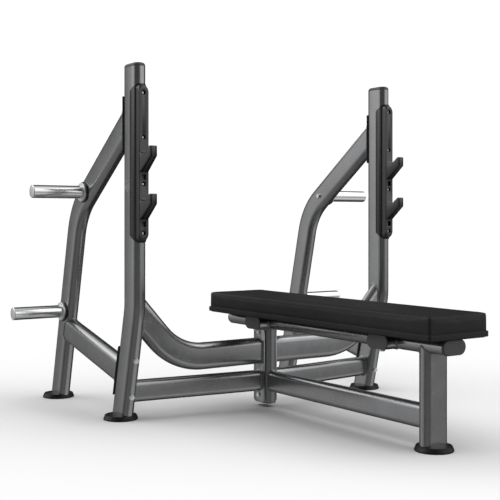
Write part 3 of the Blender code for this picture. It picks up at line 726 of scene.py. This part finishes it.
def build_foot(name, node_name):
    """A round rubber shoe that flares to its sole, around a steel sole plate."""
    center = middle(node_name)
    origin = Vector((center.x, center.y, 0.0))
    top = FOOT_HEIGHT
    upper = FOOT_RADIUS - FOOT_FLARE
    layers = [(0.0, FOOT_RADIUS - 0.0015), (0.0006, FOOT_RADIUS - 0.0004), (0.0020, FOOT_RADIUS)]
    layers += [(0.0040, FOOT_RADIUS), (0.0046, FOOT_RADIUS - 0.0009), (0.0052, FOOT_RADIUS - 0.0004)]
    for a in quarter(8):
        layers.append((top - FOOT_RIM + FOOT_RIM * sin(a), upper - FOOT_RIM * (1 - cos(a))))
    inner = upper - 2 * FOOT_RIM
    layers += [(top, inner + 0.0004), (top - 0.0005, inner), (top - 0.0030, inner - 0.0002)]
    layers += [(0.0030, inner - 0.0002), (0.0030, inner / 2)]
    rings = stack([(z, circle(radius)) for z, radius in layers], origin, Z_AXIS, X_AXIS)
    shoe = ring_object(name + "_shoe", rings, "rubber", sharp=radians(50))
    add_piece(shoe, "rubber", node_name)
    sole_top = top - 0.0014
    plate = [(0.0034, inner - 0.0006), (sole_top - 0.0008, inner - 0.0006), (sole_top, inner - 0.0014)]
    plate = [(z, circle(radius)) for z, radius in plate]
    add_piece(lofted(name + "_sole_plate", plate, origin, Z_AXIS, X_AXIS, "plate_paint"), "plate_paint")


# ---------------- centre
def build_crossbars(side, sign, upright):
    start = at(sign * PLATE_FACE, CENTER_Y, CROSSBAR_Z)
    end = at(sign * (UPRIGHT_X - TUBE_RADIUS), 0, CROSSBAR_END_Z)
    across = Vector((end.x - start.x, end.y - start.y, 0)).normalized()
    corner = start + across * ((sign * CROSSBAR_CORNER_X - start.x) / across.x)
    upper = [start, corner, end]
    axis = Z_AXIS.cross(across)
    cope = cope_cut(upright)
    square = plane_cut(start, X_AXIS)
    tube(side + "_upper_crossbar", upper, axis, MAIN, (square, cope))
    seams = [(tube_edge(upper, axis, MAIN, cut, end), X_AXIS) for cut, end in ((cope, -1), (square, 0))]

    start = at(sign * PLATE_FACE, CENTER_Y, LOW_TUBE_Z)
    end = at(sign * (UPRIGHT_X - TUBE_RADIUS), leg_center(LOW_TUBE_Z), LOW_TUBE_Z)
    axis = Z_AXIS.cross((end - start).normalized())
    lower = [start, end]
    tube(side + "_lower_crossbar", lower, axis, LIGHT, (square, cope))
    for cut, end in ((cope, -1), (square, 0)):
        seams.append((tube_edge(lower, axis, LIGHT, cut, end), X_AXIS))
    return seams


CENTER_BOLT_HEAD = 0.0040


def slab_layers(low, high, corner, edge, steps):
    """Layers of a box with round corners and broken edges."""
    half = (high - low) / 2

    def outline(inset):
        return rounded_rectangle(half.x - inset, half.y - inset, corner - inset, steps)

    thick = high.z - low.z
    return [(0, outline(edge)), (edge, outline(0)), (thick - edge, outline(0)), (thick, outline(edge))]


def build_center():
    corners = [at(0, CENTER_Y, POST_BOTTOM), at(0, CENTER_Y, POST_TOP)]
    post = tube("center_post", corners, X_AXIS, MAIN)
    build_cap("center_post_bottom_cap", "center_post_cap", MAIN, THIN_CAP, corners[0], -Z_AXIS, Y_AXIS)
    low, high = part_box("center_post_top_plate")
    layers = slab_layers(low, high, 0.026, 0.0012, 12)
    top = lofted("center_top_plate", layers, at(0, CENTER_Y, low.z), Z_AXIS, X_AXIS, "frame_paint")
    add_piece(top, "frame_paint", "center_post_top_plate")

    for side in SIDES:
        low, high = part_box(side + "_center_flange")
        corner = 0.012
        half = (high.y - low.y) / 2
        outline = arc_points((-half + corner, low.z + corner), corner, pi, 1.5 * pi, 8)
        outline += arc_points((half - corner, low.z + corner), corner, -pi / 2, 0, 8)
        outline += [(half, high.z), (-half, high.z)]
        rings = [[at(x, CENTER_Y + y, z) for y, z in outline] for x in (low.x, high.x)]
        obj = ring_object(side + "_center_side_plate", rings, "frame_paint", sharp=radians(30))
        bevel_edges(obj, 0.0010, 2, radians(60))
        add_piece(obj, "frame_paint", side + "_center_flange")

    for where, z in CENTER_BOLT_Z.items():
        seat = at(-PLATE_FACE, CENTER_Y, z)
        name = "center_through_bolt_" + where
        bolt_stack(name, seat, X_AXIS, 2 * PLATE_FACE, ["center_bolt_" + where], CENTER_BOLT_HEAD)
    return post


# ---------------- bench
def build_bench(post):
    low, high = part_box("bench_rail")
    corners = [Vector((0, low.y, RAIL_Z)), Vector((0, high.y, RAIL_Z))]
    rail = tube("bench_rail", corners, X_AXIS, MAIN, long_in_plane=False)
    build_cap("bench_rail_front_cap", "rail_front_cap", MAIN, RAIL_CAP, corners[0], -Y_AXIS, X_AXIS)
    build_cap("bench_rail_rear_cap", "rail_rear_cap", MAIN, RAIL_CAP, corners[1], Y_AXIS, X_AXIS)

    cope = cope_cut(rail)
    leg = [Vector((0, FRONT_LEG_Y, TUBE_FLOOR)), Vector((0, FRONT_LEG_Y, RAIL_Z - TUBE_RADIUS))]
    leg_tube = tube("front_leg", leg, X_AXIS, MAIN, (None, cope), False)
    seams = [(tube_edge(leg, X_AXIS, MAIN, cope, -1, False), Z_AXIS)]

    lower = [Vector((0, FRONT_LEG_Y, LOW_TUBE_Z)), at(0, CENTER_Y - MAIN_LONG / 2, LOW_TUBE_Z)]
    cuts = (cope_cut(leg_tube), cope_cut(post))
    lower[0].y += TUBE_RADIUS
    tube("bench_lower_tube", lower, X_AXIS, LIGHT, cuts, suffix="_run")
    seams.append((tube_edge(lower, X_AXIS, LIGHT, cuts[0], 0), Y_AXIS))
    seams.append((tube_edge(lower, X_AXIS, LIGHT, cuts[1], -1), Y_AXIS))

    for where in ("rear", "front"):
        for side, sign in SIDES.items():
            name = where + "_" + side + "_arm"
            low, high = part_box(name)
            end_x = high.x if sign > 0 else low.x
            y = (low.y + high.y) / 2
            arm = [Vector((end_x, y, RAIL_Z)), Vector((sign * MAIN_FLAT, y, RAIL_Z))]
            tube(name, arm, Y_AXIS, MAIN, (None, cope), False)
            seams.append((tube_edge(arm, Y_AXIS, MAIN, cope, -1, False), X_AXIS))
            build_cap(name + "_end_cap", name + "_cap", MAIN, THIN_CAP, arm[0], X_AXIS * sign, Y_AXIS)
    return seams


# ---------------- pad
PAD_ROUND = 0.0065
PAD_CORNER = 0.009
PAD_SHRINK = 0.0008  # how much smaller the cover starts before the cloth pass
PAD_SWELL = 0.0022  # how far the cloth pass may move a point
PAD_VOXEL = 0.004
PAD_FRAMES = 14
PAD_CLOTH = {
    "quality": 6, "mass": 0.4, "tension_stiffness": 40, "compression_stiffness": 40, "shear_stiffness": 20,
    "bending_stiffness": 2, "use_pressure": True, "uniform_pressure_force": 4, "vertex_group_mass": "held",
}


def pad_outline(inset):
    half = (PAD_HIGH - PAD_LOW) / 2
    corner = max(0.002, PAD_CORNER - inset)
    return rounded_rectangle(half.x - inset, half.y - inset, corner)


def pad_center():
    return Vector((0, (PAD_LOW.y + PAD_HIGH.y) / 2, 0))


def build_pad():
    """The vinyl cover over its foam, blown up a little by a cloth pass and held flat along its lower edge."""
    low = TRIM_HIGH.z - 0.010
    top = PAD_HIGH.z - PAD_SHRINK
    side = pad_outline(PAD_SHRINK)
    layers = [(low, pad_outline(0.004)), (low + 0.002, side), (low + 0.020, side), (top - PAD_ROUND, side)]
    for a in quarter(6)[1:]:
        inset = PAD_SHRINK + PAD_ROUND * (1 - cos(a))
        layers.append((top - PAD_ROUND + PAD_ROUND * sin(a), pad_outline(inset)))
    pad = lofted("pad_cover", layers, pad_center(), Z_AXIS, X_AXIS, "vinyl", sharp=pi)
    remesh = pad.modifiers.new("voxels", "REMESH")
    remesh.mode = "VOXEL"
    remesh.voxel_size = PAD_VOXEL
    apply_modifiers(pad)
    inflate(pad, low + 0.014)
    pad.data.shade_smooth()
    return add_piece(pad, "vinyl", "pad")


def inflate(pad, held_below):
    """A short cloth pass with air pressure inside; points below held_below stay where they are."""
    rest = np.empty(len(pad.data.vertices) * 3)
    pad.data.vertices.foreach_get("co", rest)
    rest = rest.reshape(-1, 3)
    held = pad.vertex_groups.new(name="held")
    held.add([int(i) for i in np.nonzero(rest[:, 2] < held_below)[0]], 1.0, "REPLACE")
    cloth = pad.modifiers.new("cover", "CLOTH")
    for key, value in PAD_CLOTH.items():
        setattr(cloth.settings, key, value)
    cloth.settings.effector_weights.gravity = 0
    scene = bpy.context.scene
    for number in range(1, PAD_FRAMES + 1):
        scene.frame_set(number)
    graph = bpy.context.evaluated_depsgraph_get()
    result = pad.evaluated_get(graph).to_mesh()
    moved = np.empty(len(rest) * 3)
    result.vertices.foreach_get("co", moved)
    pad.evaluated_get(graph).to_mesh_clear()
    shift = moved.reshape(-1, 3) - rest
    length = np.linalg.norm(shift, axis=1, keepdims=True)
    shift *= PAD_SWELL * np.tanh(length / PAD_SWELL) / np.maximum(length, 1e-9)
    pad.modifiers.remove(cloth)
    pad.vertex_groups.remove(held)
    pad.data.vertices.foreach_set("co", (rest + shift).ravel())
    pad.data.update()
    scene.frame_set(1)


def build_pad_base():
    """Edge trim, plywood board and the bolts that hold it to the arms."""
    half = (TRIM_HIGH - TRIM_LOW) / 2
    height = TRIM_HIGH.z - TRIM_LOW.z
    wall = 0.008
    turn = 0.0026

    def trim(inset):
        corner = max(0.002, PAD_ROUND + 0.004 - inset)
        return rounded_rectangle(half.x - inset, half.y - inset, corner, 8)

    layers = [(turn * (1 - cos(a)), trim(turn * (1 - sin(a)))) for a in quarter(6)]
    layers += [(height - turn + turn * sin(a), trim(turn * (1 - cos(a)))) for a in quarter(6)]
    layers += [(height, trim(wall)), (0.0, trim(wall))]
    center = pad_center()
    origin = Vector((0, center.y, TRIM_LOW.z))
    ring = lofted("pad_edge_trim", layers, origin, Z_AXIS, X_AXIS, "vinyl", True, radians(50))
    add_piece(ring, "catch_plastic", "pad_trim")

    low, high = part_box("pad_board")
    layers = slab_layers(low, high, 0.008, 0.001, 6)
    plank = lofted("pad_plywood_board", layers, Vector((0, center.y, low.z)), Z_AXIS, X_AXIS, "board")
    add_piece(plank, "board", "pad_board")

    for where in ("rear", "front"):
        for side, sign in SIDES.items():
            box_low, box_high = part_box(where + "_" + side + "_arm")
            parts = Parts()
            seat = Vector((sign * 0.066, (box_low.y + box_high.y) / 2, box_low.z))
            bolt_parts(parts, seat, Z_AXIS, 0.062)
            add_fasteners(parts, f"pad_bolt_{where}_{side}")


# ---------------- plate horns
HORN_WASHER = (0.040, 0.004)
HORN_COLLAR = (0.036, 0.008)
HORN_CHAMFER = 0.003


def horn_points(x):
    upper = at(x, REAR_CORNER_Y, REAR_CORNER_Z) + BRACE_UP * UPPER_HORN_RUN
    return {"upper": upper, "lower": at(x, rear_center(LOWER_HORN_Z), LOWER_HORN_Z)}


def rounded_disc(start, thick, inner, outer, edge):
    """Layers of a flat ring with rounded outer edges."""
    end = start + thick
    places = [(start, inner), (start, outer - edge)]
    places += [(start + edge * (1 - cos(a)), outer - edge + edge * sin(a)) for a in quarter(4)[1:]]
    places += [(end - edge + edge * sin(a), outer - edge + edge * cos(a)) for a in quarter(4)]
    return [(d, circle(radius)) for d, radius in places + [(end, inner)]]


def build_horns(side, sign):
    x = sign * UPRIGHT_X
    base = TUBE_RADIUS + GAP
    length = HORN_END - UPRIGHT_X
    outward = X_AXIS * sign
    bore = HORN_RADIUS - 0.003
    mouth = HORN_RADIUS + GAP
    washer_outer, washer_thick = HORN_WASHER
    collar_outer, collar_thick = HORN_COLLAR
    for where, center in horn_points(x).items():
        name = f"{side}_{where}_horn"
        layers = [(base, circle(bore)), (base, circle(HORN_RADIUS))]
        layers += [(length - HORN_CHAMFER, circle(HORN_RADIUS))]
        for a in quarter(6)[1:]:
            reach = length - HORN_CHAMFER + HORN_CHAMFER * sin(a)
            layers.append((reach, circle(HORN_RADIUS - HORN_CHAMFER * (1 - cos(a)))))
        face = HORN_RADIUS - HORN_CHAMFER
        layers += [(length - 0.0006, circle(face - 0.0004)), (length - 0.0006, circle(0.002))]
        add_piece(lofted(name + "_sleeve", layers, center, outward, Y_AXIS, "chrome"), "chrome", name)
        layers = [(length - 0.0012, circle(face - 0.0008)), (length - 0.0001, circle(face - 0.0008))]
        layers += [(length, circle(face - 0.0012))]
        add_piece(lofted(name + "_end_plate", layers, center, outward, Y_AXIS, "end_steel"), "chrome")
        layers = rounded_disc(base, washer_thick, mouth, washer_outer, 0.0012)
        ring = lofted(name + "_seat_ring", layers, center, outward, Y_AXIS, "catch_plastic", True)
        add_piece(ring, "catch_plastic")
        layers = rounded_disc(base + washer_thick, collar_thick, mouth, collar_outer, 0.0018)
        ring = lofted(name + "_chrome_collar", layers, center, outward, Y_AXIS, "end_steel", True)
        add_piece(ring, "chrome", name + "_collar")
        parts = Parts()
        bolt_parts(parts, center - outward * TUBE_RADIUS, outward, 0.060)
        add_fasteners(parts, name + "_bolt")


# ---------------- bar catches
HOOK_DISH = 0.014  # radius where the seat meets the bar
HOOK_ROOT_HALF = 0.0175
HOOK_TAPER = 0.0035
HOOK_GROOVES = ((-0.0082, 0.0017), (0.0085, 0.0012))  # place across the hook, half width
POCKET = (-0.091, -0.071, 0.0085)  # below the seat: low, high, half width
RECESS_RADIUS = 0.0078
RECESS_DEPTH = 0.0115
SCREW_RADIUS = 0.0048


def skirt_section():
    """(X, Y) outline of the skirt over the tube's nose, before the tube is cut out of it."""
    outer = TUBE_RADIUS + GAP + CATCH_SKIN
    edge = 0.0012
    nose = arc_points((0, -MAIN_FLAT), outer, pi, 2 * pi, 36)
    rear = [(outer, CATCH_WRAP_Y - edge), (outer - edge, CATCH_WRAP_Y)]
    return [(-a, b) for a, b in rear[::-1]] + nose + rear


def skirt_side_outline():
    """(Y, Z) limits of the skirt: a sloped crown with its rear corners turned down."""
    rear = CATCH_WRAP_Y
    turn = CATCH_SKIRT_ROUND
    crown = [(rear + 0.004, CATCH_SLOPE + turn)]
    for a in quarter(6):
        crown.append((rear - turn * (1 - cos(a)), CATCH_SLOPE + turn * (1 - 1.5 * sin(a))))
    crown += [(-MAIN_LONG / 2, 0.0), (CATCH_FRONT_Y, 0.0)]
    outline = [(y, CATCH_HIGH - fall) for y, fall in crown]
    return outline + [(y, CATCH_LOW + fall) for y, fall in crown[::-1]]


def bar_outline(half_width, drop):
    """(X, Z) outline of the bar: straight sides and round ends."""
    high = CATCH_HIGH - drop - half_width
    low = CATCH_LOW + drop + half_width
    return arc_points((0, high), half_width, 0, pi, 24) + arc_points((0, low), half_width, pi, 2 * pi, 24)


def bar_rings(x):
    depth, height = CATCH_NOSE
    rings = []
    for i, a in enumerate(quarter(8)):
        edge = 0.0018 * max(0, i - 7)  # breaks the front edge on the last ring
        outline = bar_outline(CATCH_BAR_HALF - edge, height * (1 - cos(a)) + edge)
        rings.append([at(x + b, CATCH_FRONT_Y + depth * (1 - sin(a)), c) for b, c in outline])
    return rings


def hook_outline(seat):
    face = CATCH_FRONT_Y
    root = face + 0.005
    dish = HOOK_DISH
    tip = HOOK_TIP
    outline = [(root, seat - 0.069), (root, seat + dish)]
    outline += arc_points((face - dish, seat + dish), dish, 0, -pi / 2, 10)
    outline += [
        (tip + 0.0410, seat + 0.0012),
        (tip + 0.0350, seat + 0.0036),
        (tip + 0.0290, seat + 0.0078),
        (tip + 0.0105, seat + 0.0220),
        (tip + 0.0075, seat + 0.0240),
        (tip + 0.0035, seat + 0.0245),
        (tip + 0.0010, seat + 0.0235),
        (tip, seat + 0.0210),
        (tip, seat - 0.0095),
        (tip + 0.0010, seat - 0.0120),
        (face - 0.003, seat - 0.063),
    ]
    return outline


def hook_groove(x, seat, half):
    """A cutter: a groove along the hook's front and underside."""
    depth = 0.0045
    path = [(HOOK_TIP, seat + 0.0215), (HOOK_TIP, seat - 0.0100), (CATCH_FRONT_Y - 0.003, seat - 0.0630)]
    outer = [(y - 0.003, z - 0.002) for y, z in path]
    inner = [(y + depth, z + 0.4 * depth) for y, z in path[::-1]]
    return prism("groove", x, outer + inner, lambda y: half)


def hook_half_width(y):
    reach = (CATCH_FRONT_Y - y) / (CATCH_FRONT_Y - HOOK_TIP)
    return HOOK_ROOT_HALF - HOOK_TAPER * max(0.0, reach)


def prism(name, x, outline, half_width):
    """An outline of (Y, Z) points from the rack's plane, as wide as half_width says at each Y."""
    rings = [[at(x + s * half_width(y), y, z) for y, z in outline] for s in (-1, 1)]
    return ring_object(name, rings, None)


def cut_with(obj, tool, operation="DIFFERENCE"):
    modifier = obj.modifiers.new(tool.name, "BOOLEAN")
    modifier.operation = operation
    modifier.solver = "EXACT"
    modifier.object = tool
    apply_modifiers(obj)
    bpy.data.objects.remove(tool)


def build_catch(side, sign):
    x = sign * UPRIGHT_X
    section = skirt_section()
    rings = [[at(x + a, b, z) for a, b in section] for z in (CATCH_LOW - 0.002, CATCH_HIGH + 0.002)]
    catch = ring_object(side + "_bar_catch", rings, None)
    cut_with(catch, prism("catch_limits", x, skirt_side_outline(), lambda y: 0.040), "INTERSECT")
    cut_with(catch, ring_object("bar", bar_rings(x), None), "UNION")
    outline = flat_oval(MAIN_LONG + 2 * GAP, MAIN_SHORT + 2 * GAP)
    layers = ((CATCH_LOW - 0.02, outline), (CATCH_HIGH + 0.02, outline))
    cut_with(catch, lofted("tube_shape", layers, at(x, 0, 0), Z_AXIS, Y_AXIS, None))
    for seat in HOOK_SEAT_Z:
        hook = prism("hook", x, hook_outline(seat), hook_half_width)
        bevel_edges(hook, 0.0032, 3, radians(60))
        cut_with(catch, hook, "UNION")
        for line_x, half in HOOK_GROOVES:
            cut_with(catch, hook_groove(x + line_x, seat, half))
        low, high, half = POCKET[0] + seat, POCKET[1] + seat, POCKET[2]
        front = CATCH_FRONT_Y - 0.010
        back = CATCH_FRONT_Y + 0.012
        window = [(front, low), (back, low), (back, high), (front, high)]
        cut_with(catch, prism("pocket", x, window, lambda y: half))
    for z in CATCH_SCREW_Z:
        layers = [(-0.010, circle(RECESS_RADIUS, 32)), (RECESS_DEPTH, circle(RECESS_RADIUS, 32))]
        cut_with(catch, lofted("recess", layers, at(x, CATCH_FRONT_Y, z), Y_AXIS, X_AXIS, None))
    bevel_edges(catch, 0.0007, 2, radians(40))
    catch.data.materials.clear()
    catch.data.materials.append(FINISH["catch_plastic"])
    add_piece(catch, "catch_plastic", side + "_catch_strip")

    screws = Parts()
    edge = 0.0022
    for z in CATCH_SCREW_Z:
        layers = [(0.0, circle(SCREW_RADIUS, 32)), (0.0035, circle(SCREW_RADIUS, 32))]
        for a in quarter(5)[1:]:
            layers.append((0.0035 + edge * sin(a), circle(SCREW_RADIUS - edge * (1 - cos(a)), 32)))
        for height, half_flat in ((0.0057, 0.0015), (0.0030, 0.0014)):  # the socket
            layers.append((height, chamfered_hexagon(half_flat, half_flat / cos(pi / 6), 32)))
        screws.add(stack(layers, at(x, CATCH_FRONT_Y + RECESS_DEPTH, z), -Y_AXIS, X_AXIS))
    add_fasteners(screws, side + "_catch_screws")


# ---------------- studio
CAMERA_AT = Vector((-2.2300, RACK_Y - 3.1267, 0.7223))
CAMERA_TURN = radians(-34.53)
CAMERA_LENS = 71.77
CAMERA_SHIFT_Y = -0.0633

# Soft lights around the room.  Each covers a range of azimuths (middle, half width, softness, in degrees
# from +X) and has its strength by height, which is the sine of the elevation.
ROOM_LIGHTS = (
    (149, 26, 12,
     ((-0.5, 0.22), (-0.14, 0.32), (0.05, 0.5), (0.14, 0.8), (0.45, 1.5), (0.75, 1.2), (0.88, 0.1))),
    (112, 30, 12,
     ((-0.5, 0.13), (-0.1, 0.17), (0.1, 0.13), (0.25, 0.06), (0.5, 1.45), (0.75, 1.1), (0.88, 0.0))),
    (312, 38, 12,
     ((-0.8, 0.25), (-0.5, 0.6), (-0.16, 0.14), (0.14, 0.94), (0.4, 1.1), (0.78, 1.1), (0.9, 0.2))),
    (345, 35, 12, ((0.55, 0.0), (0.72, 1.1), (0.88, 0.2))),
    (228, 34, 12, ((-0.5, 0.17), (-0.1, 0.14), (0.0, 0.06), (0.4, 0.03))),
)
CEILING = ((0.80, 0.0), (0.95, 0.25))
ROOM_BASE = 0.04
ROOM_PEAK = 2.0  # what a full ramp stands for
BACKDROP = 1.05
FLOOR_TONE = 0.588
# Painted shadow on the floor: soft darker areas that stand in for the frame's contact shadow: (center, turn,
# half sizes, depth)
FLOOR_PAINTED_SHADOWS = (
    ((-0.30, 0.05, 0), radians(-58), (1.35, 0.45, 1), 0.20),
    ((0.05, 0.25, 0), 0.0, (1.30, 1.30, 1), 0.08),
)
OVERHEAD_STRENGTH = 3.5
OVERHEAD_ANGLE = radians(85)


def height_ramp(tree, height, stops):
    """A strength that changes with height through (height, strength) stops."""
    share = node(tree, "MapRange", {"Value": height, "From Min": -1.0, "From Max": 1.0}).outputs["Result"]
    made = node(tree, "ValToRGB", {"Fac": share})
    elements = made.color_ramp.elements
    while len(elements) < len(stops):
        elements.new(0.5)
    for element, (place, strength) in zip(elements, stops):
        element.position = (place + 1) / 2
        level = strength / ROOM_PEAK
        element.color = (level, level, level, 1)
    return calc(tree, "MULTIPLY", made.outputs["Color"], ROOM_PEAK)


def azimuth_window(tree, flat_direction, azimuth, half_width, softness):
    """1 inside a range of azimuths and 0 outside, with soft sides."""
    toward = (cos(radians(azimuth)), sin(radians(azimuth)), 0)
    facing = node(tree, "VectorMath", {0: flat_direction, 1: toward}, operation="DOT_PRODUCT")
    inputs = {
        "Value": facing.outputs["Value"],
        "From Min": cos(radians(half_width + softness)),
        "From Max": cos(radians(max(0, half_width - softness))),
    }
    return node(tree, "MapRange", inputs, interpolation_type="SMOOTHSTEP").outputs["Result"]


def build_room():
    world = bpy.data.worlds.new("studio")
    bpy.context.scene.world = world
    world.use_nodes = True
    tree = world.node_tree
    background = tree.nodes["Background"]
    direction = node(tree, "TexCoord").outputs["Generated"]
    parts = node(tree, "SeparateXYZ", {"Vector": direction})
    flat = node(tree, "CombineXYZ", {"X": parts.outputs["X"], "Y": parts.outputs["Y"]}).outputs["Vector"]
    flat = node(tree, "VectorMath", {0: flat}, operation="NORMALIZE").outputs["Vector"]
    height = parts.outputs["Z"]
    total = calc(tree, "ADD", height_ramp(tree, height, CEILING), ROOM_BASE)
    for azimuth, half_width, softness, stops in ROOM_LIGHTS:
        window = azimuth_window(tree, flat, azimuth, half_width, softness)
        light = calc(tree, "MULTIPLY", window, height_ramp(tree, height, stops))
        total = calc(tree, "ADD", total, light)
    seen = node(tree, "LightPath").outputs["Is Camera Ray"]
    strength = node(tree, "Mix", {0: seen, 2: total, 3: BACKDROP}, data_type="FLOAT")
    tree.links.new(strength.outputs[0], background.inputs["Strength"])
    background.inputs["Color"].default_value = (1, 1, 1, 1)


def bell(tree, place, center, turn, sizes):
    """1 at center, falling softly to 0 beyond the sizes."""
    settings = {"Vector": place, "Location": center, "Rotation": (0, 0, turn), "Scale": sizes}
    local = node(tree, "Mapping", settings, vector_type="TEXTURE").outputs["Vector"]
    away = node(tree, "VectorMath", {0: local}, operation="LENGTH").outputs["Value"]
    square = calc(tree, "POWER", away, 2.0)
    return calc(tree, "EXPONENT", calc(tree, "MULTIPLY", square, -1.0))


def build_floor():
    half = 30.0
    corners = [(-half, -half, 0), (half, -half, 0), (half, half, 0), (-half, half, 0)]
    floor_mesh = mesh_object("studio_floor", corners, [(0, 1, 2, 3)])
    made, tree = material_tree("studio_floor")
    tree.nodes.remove(tree.nodes["Principled BSDF"])
    place = node(tree, "TexCoord").outputs["Object"]
    tone = 1.0
    for center, turn, sizes, depth in FLOOR_PAINTED_SHADOWS:
        # Each bell darkens the floor's colour: a painted shadow around the frame.
        painted_shadow_share = bell(tree, place, center, turn, sizes)
        tone = calc(tree, "SUBTRACT", tone, calc(tree, "MULTIPLY", painted_shadow_share, depth))
    tone = calc(tree, "MULTIPLY", tone, FLOOR_TONE)
    matt = node(tree, "BsdfDiffuse", {"Color": tone})
    tree.links.new(matt.outputs[0], tree.nodes["Material Output"].inputs["Surface"])
    floor_mesh.data.materials.append(made)
    floor_mesh.visible_diffuse = False
    floor_mesh.visible_glossy = False
    return floor_mesh


def build_overhead(floor_mesh):
    """A wide soft light from above that gives the floor its shadow, and lights nothing else."""
    lamp = bpy.data.lights.new("overhead", "SUN")
    lamp.energy = OVERHEAD_STRENGTH
    lamp.angle = OVERHEAD_ANGLE
    obj = bpy.data.objects.new("overhead", lamp)
    bpy.context.scene.collection.objects.link(obj)
    lit = bpy.data.collections.new("lit_by_overhead")
    lit.objects.link(floor_mesh)
    obj.light_linking.receiver_collection = lit


def build_camera():
    camera = bpy.data.objects.new("camera", bpy.data.cameras.new("camera"))
    bpy.context.scene.collection.objects.link(camera)
    camera.location = CAMERA_AT
    camera.rotation_euler = (pi / 2, 0, CAMERA_TURN)
    data = camera.data
    data.lens = CAMERA_LENS
    data.sensor_width = 36
    data.shift_y = CAMERA_SHIFT_Y
    data.clip_end = 100
    bpy.context.scene.camera = camera
    bpy.context.scene.view_settings.view_transform = "Standard"


# ---------------- assembly
build_camera()
build_room()
build_overhead(build_floor())

for side, sign in SIDES.items():
    upright, side_seams = build_side(side, sign)
    side_seams += build_crossbars(side, sign, upright)
    weld(side + "_frame_welds", side_seams)
    build_catch(side, sign)
    build_horns(side, sign)
    build_foot(side + "_front", side + "_front_foot")
    build_foot(side + "_rear", side + "_rear_foot")

post = build_center()
bench_seams = build_bench(post)
weld("bench_welds", bench_seams)
build_foot("bench_front", "front_leg_foot")
build_pad()
build_pad_base()
